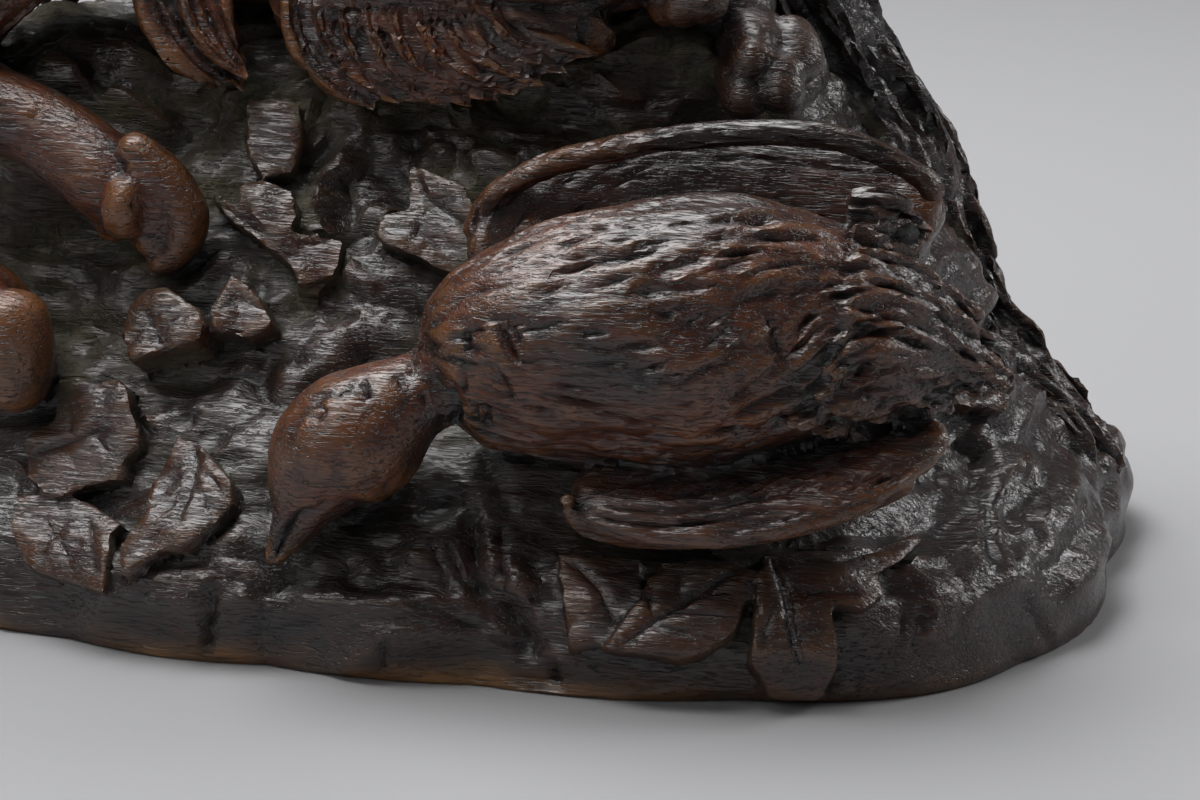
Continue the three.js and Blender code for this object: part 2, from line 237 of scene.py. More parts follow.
def limb(kind, stations, up=(0, 0, 1), around=20, step=3.0):
    """A rounded mass along stations of (x, y, z, half width, half height), with round ends."""
    line = smooth_line(stations, step)
    ahead, side, over = axes_along(line, up)
    length = np.linalg.norm(np.diff(line[:, :3], axis=0), axis=1).sum()
    made, down, turn = ball(around, len(line) + 5)
    marks = np.linspace(0, 1, len(line))
    centre, across, above = (
        np.stack([np.interp(down, marks, column) for column in rows.T], axis=1)
        for rows in (line, side, over)
    )
    caps = [min(0.3, math.sqrt(max(row[3] * row[4], 0.01)) / length) for row in (line[0], line[-1])]
    to_start = np.clip(down / caps[0], 0, 1)
    to_end = np.clip((1 - down) / caps[1], 0, 1)
    shrink = np.sqrt(1 - (1 - to_start) ** 2) * np.sqrt(1 - (1 - to_end) ** 2)
    wide = (centre[:, 3] * shrink * np.cos(turn))[:, None]
    high = (centre[:, 4] * shrink * np.sin(turn))[:, None]
    write_points(made, centre[:, :3] + across * wide + above * high)
    return keep_form(made, kind, line, up)


def egg(kind, centre, long_axis, half_length, half_width, half_height=None, up=(0, 0, 1)):
    """An egg of wood along an axis."""
    half_height = half_height or half_width
    axis = np.array(long_axis, float) / np.linalg.norm(long_axis)
    centre = np.array(centre, float)
    reach = (-0.9, -0.6, 0.0, 0.6, 0.9)
    fat = (0.44, 0.8, 1.0, 0.8, 0.44)
    rows = [
        [*(centre + axis * half_length * r), half_width * f, half_height * f]
        for r, f in zip(reach, fat)
    ]
    return limb(kind, rows, up=up, around=16, step=1.5)


# The rocky mound: the foot of the block, flat below, with a low worn rim, then a slope of broken rock.
# Each level gives its height, then its reach to the right, left, front and back of an upright axis.
AXIS_Y = 18.0
MOUND_TOP = 130.0
FOOT = (174.6, 174.6, 125.4, 83.4)
LEVELS = [
    (0.0, 173.0, 173.0, 124.0, 82.0),
    (3.0, *FOOT),
    (13.0, *FOOT),
    (21.0, 170.0, 170.0, 121.0, 81.0),
    (36.0, 151.0, 158.0, 104.0, 70.0),
    (56.0, 135.0, 145.0, 87.0, 63.0),
    (78.0, 125.0, 136.0, 69.0, 57.0),
    (98.0, 113.0, 127.0, 53.0, 51.0),
    (113.0, 99.0, 117.0, 42.0, 45.0),
    (123.0, 84.0, 102.0, 31.0, 36.0),
    (128.0, 62.0, 66.0, 18.0, 22.0),
]
CORNERS = {"front_right": (3.4, 2.4), "front_left": (2.4, 3.2), "back": (2.4, 2.4)}
UNDERSIDE_SHARE = 0.08


def squared(share, corner):
    """How square a corner is at a share of the mound's height."""
    foot, top = CORNERS[corner]
    return foot + (top - foot) * share


def mound_reach(height, angle):
    """How far the mound reaches from its axis at each height and angle, with its bays and shoulders."""
    levels = np.array(LEVELS + [(MOUND_TOP, 6.0, 6.0, 4.0, 4.0)])
    right, left, front, back = (np.interp(height, levels[:, 0], column) for column in levels.T[1:])
    share = height / MOUND_TOP
    c, s = np.cos(angle), np.sin(angle)
    front_power = np.where(c > 0, squared(share, "front_right"), squared(share, "front_left"))
    power = np.where(s > 0, squared(share, "back"), front_power)
    along_x = np.abs(c / np.where(c > 0, right, left))
    along_y = np.abs(s / np.where(s > 0, back, front))
    reach = (along_x**power + along_y**power) ** (-1 / power)
    swell = 0.02 * np.sin(math.pi * np.minimum(1, share * 1.4))
    rock = swell * (np.sin(7 * angle + 5 * share) + np.sin(12 * angle - 9 * share))
    scallops = 0.02 * np.maximum(0, 1 - height / 40) * (np.abs(np.sin(8 * angle + 0.6)) - 1)
    return reach * (1 + rock + scallops)


def scatter(lattice, seed):
    """A steady random number, 0 to 1, for each row of whole numbers."""
    key = np.full(len(lattice), (seed * 0x9E3779B1) & 0x7FFFFFFF, np.int64)
    for column, prime in zip(lattice.T, (73856093, 19349663, 83492791)):
        key = (key ^ (column * prime)) & 0x7FFFFFFF
        key = ((key ^ (key >> 15)) * 0x2C1B3C6D) & 0x7FFFFFFF
    key = ((key ^ (key >> 12)) * 0x297A2D39) & 0x7FFFFFFF
    return (key ^ (key >> 15)) / 0x7FFFFFFF


def noise(q, seed):
    """Soft random numbers, 0 to 1, at places given in cells."""
    cell = np.floor(q).astype(np.int64)
    part = q - cell
    part = part * part * (3 - 2 * part)
    total = np.zeros(len(q))
    for corner in product((0, 1), repeat=q.shape[1]):
        weight = np.prod(np.where(np.array(corner) == 1, part, 1 - part), axis=1)
        total += weight * scatter(cell + corner, seed)
    return total


def layered(q, seed, layers=3):
    """Noise of several sizes laid over each other, -1 to 1."""
    total = sum(0.5**k * (noise(q * 2**k, seed + k) * 2 - 1) for k in range(layers))
    return total / (2 - 0.5 ** (layers - 1))


mound, down, turn = ball(260, 150)
side_share = np.clip((1 - down - UNDERSIDE_SHARE) / (1 - UNDERSIDE_SHARE), 0, 1)
summit = (MOUND_TOP, 0, 0, 4, 4)
rises = [math.hypot(b[0] - a[0], b[3] - a[3]) for a, b in zip(LEVELS, LEVELS[1:] + [summit])]
slope = np.cumsum([0.0] + rises)
heights = [level[0] for level in LEVELS] + [MOUND_TOP]
height = np.interp(side_share * slope[-1], slope, heights)
under = np.clip((1 - down) / UNDERSIDE_SHARE, 0, 1)
reach = mound_reach(height, turn) * under * (down > 0.5 / 150)
points = np.stack([reach * np.cos(turn), AXIS_Y + reach * np.sin(turn), height], axis=1)
loose = np.clip((height - 16) / 20, 0, 1)[:, None]
lumps = np.stack([layered(points / 34, seed) for seed in (3, 5, 7)], axis=1)
write_points(mound, points + lumps * loose * (5.0, 5.0, 2.5))
keep_form(mound, GROUND)

BOULDERS = [
    (54, 4, 114, 44, 30, 24),
    (-86, -8, 94, 42, 38, 34),
    (78, -16, 84, 52, 28, 25),
]
for x, y, z, half_x, half_y, half_z in BOULDERS:
    made, down, turn = ball(96, 64)
    unit = read_points(made) * MM
    rough = 1 + 0.09 * layered(unit * 2.2 + x, 11)[:, None]
    write_points(made, unit * rough * (half_x, half_y, half_z) + (x, y, z))
    keep_form(made, ROCK)


def skin_of(kinds):
    """A tree for finding where a line of sight meets the rough forms of some kinds."""
    points, faces = [], []
    for form in forms:
        if form["kind"] in kinds:
            made = bpy.data.objects[form["name"]]
            start = len(points)
            points += read_points(made).tolist()
            faces += [[start + i for i in face.vertices] for face in made.data.polygons]
    return BVHTree.FromPolygons(points, faces)


ground_skin = skin_of((GROUND, ROCK))

# The leaves: flat plates with lobed and broken edges, left standing a few millimetres above the ground
# round them. Their outlines are on the drawing; the hidden sides carry plainer ones of the same kind.
LEAF_STEP = 1.6
LEAF_SINK = 3.5
SEEN_LEAVES = {
    # name: (how far it stands out, its outline)
    "by_the_paw": (
        4.6,
        [
            (13.1, 95.2), (22.7, 94.7), (26.6, 95.2), (28.6, 92.7), (29.2, 88.2), (30.6, 85.5),
            (31.3, 82.1), (31.1, 79.2), (28.1, 77.2), (27.4, 72.5), (24.1, 71.8), (20.0, 71.1),
            (13.7, 68.4), (10.3, 68.6), (6.3, 72.5), (5.2, 80.8), (7.7, 83.5), (11.7, 85.5),
        ],
    ),
    "at_the_rim": (
        3.2,
        [
            (3.4, 68.4), (10.3, 69.3), (20.0, 66.8), (26.8, 62.1), (24.8, 60.1), (24.1, 55.1),
            (23.2, 46.4), (16.4, 49.1), (8.3, 51.1), (4.0, 54.5), (2.5, 60.8),
        ],
    ),
    "left_block": (
        8.0,
        [
            (27.4, 104.9), (29.7, 112.3), (33.1, 115.2), (37.1, 115.2), (44.8, 110.2), (45.5, 106.9),
            (44.1, 103.5), (29.0, 99.2),
        ],
    ),
    "right_block": (
        8.5,
        [
            (47.5, 110.9), (52.4, 118.6), (58.5, 113.0), (61.2, 108.2), (60.5, 106.2), (55.1, 104.2),
            (47.5, 106.2),
        ],
    ),
    "grooved": (
        3.8,
        [
            (40.1, 81.5), (44.1, 80.8), (48.1, 76.5), (51.8, 71.8), (52.6, 66.8), (48.1, 62.1),
            (41.4, 57.4), (35.1, 55.8), (27.4, 50.4), (26.8, 57.4), (32.4, 64.8), (34.4, 71.1),
            (37.1, 76.5),
        ],
    ),
    "bright": (
        5.5,
        [
            (47.2, 136.3), (53.6, 134.3), (59.0, 129.4), (65.9, 128.0), (76.7, 126.5), (77.4, 125.1),
            (75.2, 118.1), (67.5, 115.7), (65.9, 119.5), (61.2, 124.2), (56.5, 127.4), (52.0, 130.5),
        ],
    ),
    "folded": (
        6.0,
        [
            (84.4, 129.6), (86.9, 132.1), (91.8, 133.2), (92.2, 142.9), (99.9, 140.4), (104.6, 138.2),
            (106.9, 132.1), (107.8, 122.6), (103.0, 118.1), (96.1, 121.0), (90.7, 123.5), (84.4, 126.5),
        ],
    ),
    "front": (
        4.4,
        [
            (135.7, 34.4), (144.0, 46.1), (148.5, 53.8), (164.2, 54.7), (170.3, 51.5), (168.3, 45.5),
            (164.9, 37.6), (158.0, 33.1), (151.9, 31.5),
        ],
    ),
    "front_left": (2.2, [(125.5, 55.4), (144.0, 54.7), (144.5, 46.8), (136.3, 35.3), (127.8, 34.4)]),
    "red_block": (
        6.5,
        [
            (53.6, 138.4), (59.0, 140.0), (65.9, 137.2), (66.8, 131.6), (65.2, 128.0), (59.0, 129.4),
            (54.0, 134.1),
        ],
    ),
    "stub": (
        4.5,
        [
            (55.8, 157.5), (61.2, 158.4), (67.5, 156.6), (68.0, 148.5), (65.7, 141.3), (59.0, 140.0),
            (55.4, 146.2),
        ],
    ),
    "round_end": (
        2.5, [(65.9, 126.5), (71.5, 127.8), (75.2, 123.8), (75.6, 118.1), (71.5, 113.9), (67.0, 114.8)],
    ),
    "front_right": (
        5.2,
        [
            (171.9, 55.4), (198.2, 56.9), (206.1, 60.1), (207.7, 58.5), (203.0, 53.8), (197.6, 50.9),
            (199.1, 46.1), (194.4, 43.0), (188.3, 43.9), (187.4, 42.3), (188.3, 37.6), (189.0, 31.5),
            (185.8, 25.2), (184.7, 19.8), (175.1, 20.5), (169.0, 31.5), (170.3, 46.8),
        ],
    ),
}


def fill_outline(outline, spacing):
    """Points on and inside a flat outline, about a spacing apart, and the triangles between them."""
    outline = np.array(outline, float)
    edge = []
    for a, b in zip(outline, np.roll(outline, -1, axis=0)):
        cuts = max(1, round(np.linalg.norm(b - a) / spacing))
        edge += [a + (b - a) * k / cuts for k in range(cuts)]
    edge = np.array(edge)
    low, high = edge.min(0), edge.max(0)
    across = np.arange(low[0], high[0], spacing)
    up = np.arange(low[1], high[1], spacing * 0.87)
    grid = np.array([(x + (k % 2) * spacing / 2, y) for k, y in enumerate(up) for x in across])
    inside = np.zeros(len(grid), bool)
    for (x0, y0), (x1, y1) in zip(edge, np.roll(edge, -1, axis=0)):
        if y0 != y1:
            crosses = (grid[:, 1] > y0) != (grid[:, 1] > y1)
            inside ^= crosses & (grid[:, 0] < (x1 - x0) * (grid[:, 1] - y0) / (y1 - y0) + x0)
    clear = np.linalg.norm(grid[:, None] - edge[None], axis=2).min(1) > spacing * 0.6
    flat = [Vector(p) for p in edge] + [Vector(p) for p in grid[inside & clear]]
    ring = [(k, (k + 1) % len(edge)) for k in range(len(edge))]
    found, _, faces, _, _, _ = delaunay_2d_cdt(flat, ring, [], 1, 1e-5)
    return np.array([list(p) for p in found]), faces


def plate(kind, flat, faces, top, out, depth):
    """A closed plate: its top points, and the same points sunk against the outward direction."""
    count = len(flat)
    low = top - out * depth
    turned_over = [tuple(count + i for i in reversed(face)) for face in faces]
    edges = {(a, b) for face in faces for a, b in zip(face, face[1:] + face[:1])}
    walls = [(b, a, count + a, count + b) for a, b in sorted(edges) if (b, a) not in edges]
    mesh = bpy.data.meshes.new("plate")
    mesh.from_pydata(
        (np.vstack([top, low]) * MM).tolist(), [], [tuple(f) for f in faces] + turned_over + walls,
    )
    made = bpy.data.objects.new("plate", mesh)
    bpy.context.collection.objects.link(made)
    return keep_form(made, kind)


for number, (name, (rise, outline)) in enumerate(SEEN_LEAVES.items()):
    flat, faces = fill_outline(outline, LEAF_STEP)
    met = [ground_skin.ray_cast(Vector(eye), Vector(sight(place))) for place in flat]
    out = np.array([hit[1] for hit in met if hit[0]]).mean(0)
    out /= np.linalg.norm(out)
    facing = -min(-0.25, float(out @ sight(flat.mean(0))))
    wave = layered(flat / 9.0, 40 + number, 2) * 0.9
    spots = []
    for (spot, _, _, _), place, bend in zip(met, flat, wave):
        base = np.array(spot) if spot else behind(place, -60)
        spots.append(base - sight(place) * (rise + bend) / facing)
    plate(LEAF, flat, faces, np.array(spots), out, rise + LEAF_SINK + 1.5)

HIDDEN_LEAVES = [
    # angle round the mound, height, size, turn
    (-2.95, 44, 36, 0.4), (-2.72, 66, 30, 1.9), (2.86, 40, 32, 2.6), (2.3, 50, 36, 0.8),
    (2.05, 30, 30, 2.3), (1.6, 44, 34, 0.2), (1.25, 28, 30, 1.4), (0.85, 46, 34, 2.9),
    (0.3, 40, 30, 0.9), (-0.22, 52, 26, 2.0),
]


def leaf_outline(size):
    """A leaf with a pointed tip and five shallow lobes with small teeth."""
    around = np.linspace(0, 2 * math.pi, 44, endpoint=False)
    lobes = 1 + 0.13 * np.cos(5 * around) + 0.03 * np.cos(22 * around)
    reach = 0.5 * size * (1 + 0.28 * np.cos(around)) * lobes
    return np.stack([reach * np.cos(around), 0.86 * reach * np.sin(around)], axis=1)


leaf_frames = {}    # for each hidden leaf's form: its middle, its length direction and its width direction
for number, (angle, height, size, turn) in enumerate(HIDDEN_LEAVES):
    at, near = (
        np.array([mound_reach(h, a) * math.cos(a), AXIS_Y + mound_reach(h, a) * math.sin(a), h])
        for h, a in ((np.float64(height), angle), (np.float64(height + 8), angle))
    )
    level = np.array([-math.sin(angle), math.cos(angle), 0])
    rising = (near - at) / np.linalg.norm(near - at)
    out = np.cross(level, rising)
    length_way = level * math.cos(turn) + rising * math.sin(turn)
    width_way = np.cross(out, length_way)
    flat, faces = fill_outline(leaf_outline(size), LEAF_STEP * 1.3)
    curl = 0.03 * flat[:, 1] ** 2 * 0.25 + layered(flat / 11.0, 60 + number, 2) * 0.8
    spots = []
    for (x, y), bend in zip(flat, curl):
        start = at + length_way * x + width_way * y + out * 25
        spot = ground_skin.ray_cast(Vector(start), Vector(-out))[0]
        spots.append(np.array(spot) + out * (3.0 + bend) if spot else start - out * 22)
    leaf_frames[len(forms)] = (at, length_way, width_way)
    plate(LEAF, flat, faces, np.array(spots), out, 7.5)

# The dead game bird. It lies on its back down the slope with the neck bent over and the bill pointing
# down. The far wing stands up behind it as a rim round a hollow, and the near wing lies on the ground.
bird_body = [
    (24, -87, 66, 12, 14), (34, -85, 69.5, 18, 20), (56, -81, 75, 25, 28), (86, -77, 78, 27, 31.5),
    (112, -71, 78, 22, 26.5), (128, -64, 76, 14, 17), (138, -59, 73, 9, 11), (144, -57, 70, 6, 7),
]
limb(BIRD, bird_body, around=72, step=2.0)
BIRD_NECK_UP = (0, -1, 0.3)
bird_head = [
    # place on the drawing, depth, and half width
    ((105.8, 96.3), -87, 12.5), ((95.4, 91.8), -91, 9.6), ((89.1, 88.2), -93, 12.0),
    ((82.4, 83.2), -94.5, 15.2), ((74.2, 77.4), -96.5, 14.4), ((69.5, 69.8), -98.5, 10.2),
    ((66.6, 63.0), -100, 6.0), ((63.5, 57.6), -102, 3.6), ((60.3, 52.9), -104, 1.4),
]
bird_head = [(*behind(place, depth), wide, wide) for place, depth, wide in bird_head]
limb(BIRD_HEAD, bird_head, up=BIRD_NECK_UP, around=48, step=1.6)

WING_RIM_Y = -53.0
WING_RIM = 3.1
wing_rim = [
    (106.7, 125.1), (107.5, 130.1), (110.9, 135.5), (117.5, 140.0), (126.0, 143.6), (143.3, 147.6),
    (160.4, 149.8), (182.9, 149.8), (195.3, 146.5), (204.3, 142.2), (209.2, 138.2), (210.4, 134.1),
]
rim_rows = [
    (*behind(place, WING_RIM_Y + 5 * k / 11), WING_RIM, WING_RIM) for k, place in enumerate(wing_rim)
]
limb(WING, rim_rows, step=1.5)
limb(
    WING,
    [
        (*behind(place, WING_RIM_Y + 3), WING_RIM * 1.5, WING_RIM)
        for place in ((106.7, 124.7), (112.5, 126.9), (122.6, 130.1))
    ],
)
far_wing = [
    (30, -58, 80, 6, 9), (38, -48, 90, 5, 12), (56, -41, 96, 5, 14), (82, -36, 99, 5, 15),
    (108, -34, 99, 5, 14), (124, -35, 96, 5, 12), (131, -38, 93, 4, 8),
]
limb(WING, far_wing, up=(0, 0.3, 1), around=28)
near_wing = [
    (60, -93, 46, 6, 4.5), (70, -94, 44.5, 12, 5.2), (92, -93, 44.5, 14, 5.8),
    (116, -88, 49.5, 13, 5.2), (132, -80, 56, 9, 4), (141, -75, 60, 4, 3),
]
NEAR_WING_UP = (0, -0.4, 0.9)
limb(WING, near_wing, up=NEAR_WING_UP, around=40, step=2.0)
WING_LIP = 2.0
lip = [
    (127.4, 68.9), (128.7, 64.4), (133.2, 60.5), (144.0, 58.5), (157.5, 58.5), (171.9, 60.8),
    (187.4, 63.9), (197.6, 67.5), (205.9, 72.0),
]
lip_rows = [(*behind(place, -104.5 + 2.4 * k), WING_LIP, WING_LIP) for k, place in enumerate(lip)]
limb(WING, lip_rows, step=1.5)
WING_TIPS = [
    ((189.0, 76.0), (201.4, 77.2), (211.1, 78.3), -80),
    ((188.6, 72.7), (200.2, 73.6), (209.5, 74.5), -83),
    ((185.6, 69.3), (196.9, 70.0), (205.2, 70.4), -87),
]
for root, bend, tip, depth in WING_TIPS:
    stops = [behind(place, depth + 2.5 * k - 4) for k, place in enumerate((root, bend, tip))]
    limb(WING, [(*stop, w, w * 0.8) for stop, w in zip(stops, (2.6, 2.6, 1.2))], around=14, step=1.5)

# The tail feathers fan out over the end of the body, broad flat quills with ragged tips. Each starts on
# the body's skin and ends free of it, every other one a little higher than its neighbours.
bird_skin = skin_of((BIRD,))
QUILLS = [
    # root, bend and tip on the drawing, depth of the tip, half width
    ((189.5, 134.1), (200.7, 133.2), (209.7, 126.9), -59, 4.4),
    ((191.2, 127.8), (199.8, 126.0), (207.5, 122.4), -62, 3.2),
    ((191.2, 122.0), (205.9, 117.0), (221.4, 107.5), -60, 4.4),
    ((190.1, 116.5), (205.9, 111.2), (225.0, 101.7), -61, 4.4),
    ((189.0, 110.2), (204.8, 105.3), (229.1, 94.0), -62, 4.6),
    ((187.9, 103.0), (202.5, 99.5), (221.6, 91.6), -66, 4.4),
    ((185.6, 96.8), (199.8, 93.6), (215.3, 87.8), -70, 4.0),
    ((182.7, 90.9), (194.0, 88.9), (205.9, 85.0), -75, 4.0),
    ((175.5, 86.9), (185.8, 84.8), (195.3, 82.4), -80, 3.4),
]
for number, (root, bend, tip, depth, wide) in enumerate(QUILLS):
    stops = []
    for place, out in ((root, 0.4), (bend, 1.6 + 0.7 * (number % 2))):
        spot = bird_skin.ray_cast(Vector(eye), Vector(sight(place)))[0]
        stops.append(np.array(spot) - sight(place) * out if spot else behind(place, depth - 6))
    stops.append(behind(tip, depth))
    limb(QUILL, [(*stop, w * 0.62, w) for stop, w in zip(stops, (wide * 0.8, wide, wide * 0.5))],
         up=(0.2, 0.3, 1), around=18, step=1.5)
for place, depth in (
    ((209.2, 96.3), -74), ((214.9, 93.2), -72), ((208.1, 88.9), -76), ((203.6, 131.6), -64),
    ((208.1, 128.7), -62),
):
    egg(QUILL, behind(place, depth), (1, 0, -0.3), 3.4, 2.0)


# The dog: a long-haired hunting dog that lies on the rock above. Its trunk, neck and limbs are rounded
# masses under a wavy coat, finished more plainly than the bird, and its front limbs hang to the rock.
trunk_line = [
    (-96, 3, 174, 20, 27), (-84, 4, 174, 30, 40), (-62, 6, 175, 36, 46), (-40, 9, 173, 37, 46),
    (-8, 11, 171, 35, 42), (24, 13, 169, 32, 38), (50, 14, 167, 33, 38), (70, 14, 163, 28, 32),
    (80, 14, 160, 18, 22),
]
limb(COAT, trunk_line, around=56)
limb(COAT, [(-62, 6, 184, 30, 34), (-86, 2, 208, 27, 31), (-102, -4, 234, 22, 26), (-108, -8, 254, 19, 21)],
     up=(1, 0, 0.4), around=48)
limb(
    COAT, [(-70, 0, 192, 16, 26), (-72, -18, 172, 16, 20), (-78, -30, 155, 12, 14)], up=(1, 0, 0.3),
    around=32,
)
limb(COAT, [(-74, -29, 157, 13, 13), (-94, -36, 144, 12, 12), (-112, -40, 124, 11, 11)], around=32)
limb(
    COAT,
    [
        (-88, -4, 164, 15, 20), (-106, -24, 138, 13, 14), (-120, -42, 112, 12, 12),
        (-124, -54, 86, 11, 11),
    ],
    around=32,
)
limb(SKIN, [(-126, -54, 86, 11, 11), (-116, -61, 78, 11, 11), (-100, -66, 73, 12, 11)], around=32)
limb(
    COAT, [(64, 0, 174, 24, 22), (42, -15, 168, 27, 25), (20, -25, 160, 21, 19), (6, -29, 154, 12, 12)],
    around=40,
)
limb(
    COAT, [(6, -29, 152, 12, 12), (32, -27, 147, 13, 12), (56, -18, 147, 11, 10), (74, -8, 150, 8, 8)],
    around=32,
)
limb(SKIN, [(60, 0, 146, 10, 10), (74, -4, 140, 10, 10), (84, -14, 134, 9, 9)], around=28)

TOE = 6.0
KNUCKLES = (
    # how far along the foot, aside and down in foot radii, then half width and height in toe radii
    (0.62, 0.62, -0.12, 0.85, 0.9), (0.98, 0.82, -0.1, 0.85, 1.0), (1.2, 0.88, 0.4, 0.9, 0.95),
    (1.2, 0.84, 1.0, 0.6, 0.55),
)


def paw(start, end, radius, spread, drop, toes=4):
    """A foot at the end of a leg, with toes that curl down from it side by side."""
    start, end = np.array(start, float), np.array(end, float)
    forward = end - start
    spread = np.array(spread) / np.linalg.norm(spread)
    drop = np.array(drop) / np.linalg.norm(drop)
    foot = [(*start, radius * 0.95, radius * 0.9), (*(start + end) / 2, radius, radius * 0.9),
            (*end, radius * 0.86, radius * 0.72)]
    limb(SKIN, foot, up=drop, around=32, step=2.0)
    for k in range(toes):
        place = 2 * k / (toes - 1) - 1
        ahead = forward * (1 - 0.22 * place * place)
        knuckles = []
        for along, aside, below, wide, high in KNUCKLES:
            spot = start + ahead * along + (spread * place * aside + drop * below) * radius
            knuckles.append((*spot, TOE * wide, TOE * high))
        limb(SKIN, knuckles, up=spread, around=18, step=1.5)


NEAR_FOOT = (
    ((9.9, 150.8), -47, 9.8), ((17.6, 145.3), -49, 10.2), ((24.3, 139.5), -51, 10.4),
    ((29.7, 134.1), -52, 9.0), ((31.9, 130.1), -52, 6.0),
)
near_leg = [(-114, -41, 123, 11, 11), (-100, -45, 114, 10.6, 10.6)]
limb(SKIN, near_leg + [(*behind(place, depth), r, r) for place, depth, r in NEAR_FOOT], around=40, step=1.5)
NEAR_TOES = (
    # the places along a toe, their depth, and its half width
    (
        (
            (26.6, 148.5), (32.9, 144.5), (39.4, 137.9), (42.1, 131.6), (40.5, 125.5), (36.5, 122.0),
            (32.9, 121.0),
        ),
        -55.5, 5.2,
    ),
    (((28.8, 144.0), (33.8, 139.5), (36.0, 135.0), (34.9, 129.2), (31.9, 122.9)), -58.0, 3.0),
    (((21.6, 138.2), (25.2, 130.5), (27.9, 126.0)), -55.0, 4.4),
)
for path, depth, wide in NEAR_TOES:
    swell = np.interp(np.linspace(0, 1, len(path)), (0, 0.5, 1), (0.8, 1, 0.85)) * wide
    limb(
        SKIN, [(*behind(place, depth), w, w) for place, w in zip(path, swell)], up=(0, 1, 0), around=22,
        step=1.5,
    )
paw((-102, -65, 73), (-80, -69, 63), 13, (0.1, -0.8, 0.6), (-0.2, -0.3, -0.93))
paw((72, -10, 146), (68, -20, 143), 8, (0.85, -0.5, 0.05), (-0.1, -0.35, -0.93))
paw((80, -10, 134), (90, -22, 126), 9, (0.7, 0.5, 0.5), (0.3, -0.4, -0.85), toes=3)
# The broad knuckles of the near paw, the foot of the other forepaw, and two toes of the far paw.
egg(SKIN, behind((28.4, 133.4), -59.5), (0.16, 0, 1), 9.0, 6.2, 5.6)
egg(SKIN, behind((34.6, 132.3), -52.5), (-0.12, 0, 1), 12.0, 9.0, 7.5)
egg(SKIN, behind((3.1, 101.2), -78), (0.05, 0, 1), 17.0, 9.6, 10.0)
egg(SKIN, behind((169.2, 166.1), -25), (0.5, 0, 1), 6.5, 5.0, 5.5)
egg(SKIN, behind((176.0, 162.9), -24), (0.3, 0, 1), 6.5, 4.6, 5.5)

# The head looks to the left and a little towards the front. A long muzzle with a square lip, a stop
# between the eyes, and long hanging ears with wavy hair.
nape = np.array([-104.0, -8.0, 268.0])
look = np.array([-0.9, -0.42, -0.12])
look /= np.linalg.norm(look)
cheek = np.cross((0, 0, 1), look)
cheek /= np.linalg.norm(cheek)
crown = np.cross(look, cheek)


def on_head(along, aside, above):
    """A point of the head, measured from the nape along the look, sideways and upwards."""
    return nape + look * along + cheek * aside + crown * above


def head_row(along, above, wide, high):
    """A station of the head's middle line."""
    return (*on_head(along, 0, above), wide, high)


limb(
    FACE,
    [
        head_row(6, -2, 18, 17), head_row(16, 0, 19, 18), head_row(28, -2, 17, 16),
        head_row(38, -6, 13, 13), head_row(52, -9, 11, 11), head_row(68, -10, 10, 11),
    ],
    around=40, step=2.0,
)
limb(
    FACE, [head_row(22, -14, 13, 10), head_row(42, -18, 9.5, 8), head_row(62, -19, 7.5, 6)], around=32,
    step=2.0,
)
egg(FACE, on_head(76, 0, -3.5), cheek, 5.6, 4.0, 4.6)
for side in (-1, 1):
    egg(FACE, on_head(66, side * 5.5, -14), look, 11, 5.2, 7.0)
    egg(FACE, on_head(32, side * 9.5, 8.5), (look + crown * 0.2), 7.5, 3.4, 3.0)
    egg(FACE, on_head(36.5, side * 10.6, 2.6), cheek, 3.4, 3.6, 3.6)
    egg(FACE, on_head(34, side * 11.5, -2.6), look, 6.0, 2.2, 2.0)
    ear = [
        (*on_head(12, side * 16, 8), 4, 8), (*on_head(10, side * 21, -6), 5, 14),
        (*on_head(8, side * 23, -26), 5.5, 19), (*on_head(6, side * 24, -46), 5, 18),
        (*on_head(8, side * 24, -62), 3, 9),
    ]
    limb(LOCK, ear, up=tuple(look), around=36)


# Long hair hangs from the chest, elbow, belly, thigh and ears in locks that taper to a point, each cut
# free of its neighbour with a veining tool.
def lock(places, width, thick=0.7, kind=LOCK, up=(0, 1, 0)):
    """A tapering lock of hair through some points."""
    count = len(places) - 1
    swell = [width * (0.55 + 1.8 * k / count * (1 - k / count)) for k in range(count)] + [width * 0.12]
    rows = [(*place, w, max(w * thick, 0.35)) for place, w in zip(places, swell)]
    limb(kind, rows, up=up, around=10, step=2.0)


def drawn_lock(path, depth, width, thick=0.8):
    """A lock whose path is on the drawing, which comes a little forward as it hangs."""
    lock([behind(place, depth - 1.2 * k) for k, place in enumerate(path)], width, thick)


ELBOW_LOCKS = [
    [(31.1, 185.4), (33.8, 175.1), (39.6, 166.5), (45.9, 161.1)],
    [(33.8, 185.4), (37.4, 174.2), (43.2, 166.5), (50.9, 160.2)],
    [(36.9, 185.4), (41.0, 174.2), (46.8, 166.5), (54.0, 160.4)],
    [(40.1, 185.4), (44.6, 174.2), (50.0, 167.8), (56.7, 161.6)],
    [(43.6, 185.4), (47.7, 175.1), (51.8, 169.2), (55.6, 163.3)],
    [(47.0, 185.4), (49.7, 176.0), (52.6, 171.0), (54.7, 166.1)],
]
for number, path in enumerate(ELBOW_LOCKS):
    drawn_lock(path, -34.5 + 1.6 * (number % 3), 2.6 + 0.5 * (number % 2), 1.2)

# The chest hair falls and then sweeps to the right. Every lock runs between three guide lines, and the
# locks reach a little less or more far down in turn, so that the edge isn't cut straight.
HAIR_GUIDES = (
    ((64.4, 182.7), (65.7, 173.5), (68.2, 167.4), (73.1, 161.6), (82.4, 155.7)),
    ((89.1, 182.7), (91.8, 173.2), (95.4, 166.1), (101.2, 161.1), (110.7, 156.8)),
    ((110.7, 182.7), (113.9, 176.8), (119.2, 172.3), (126.5, 169.2), (136.3, 167.0)),
)


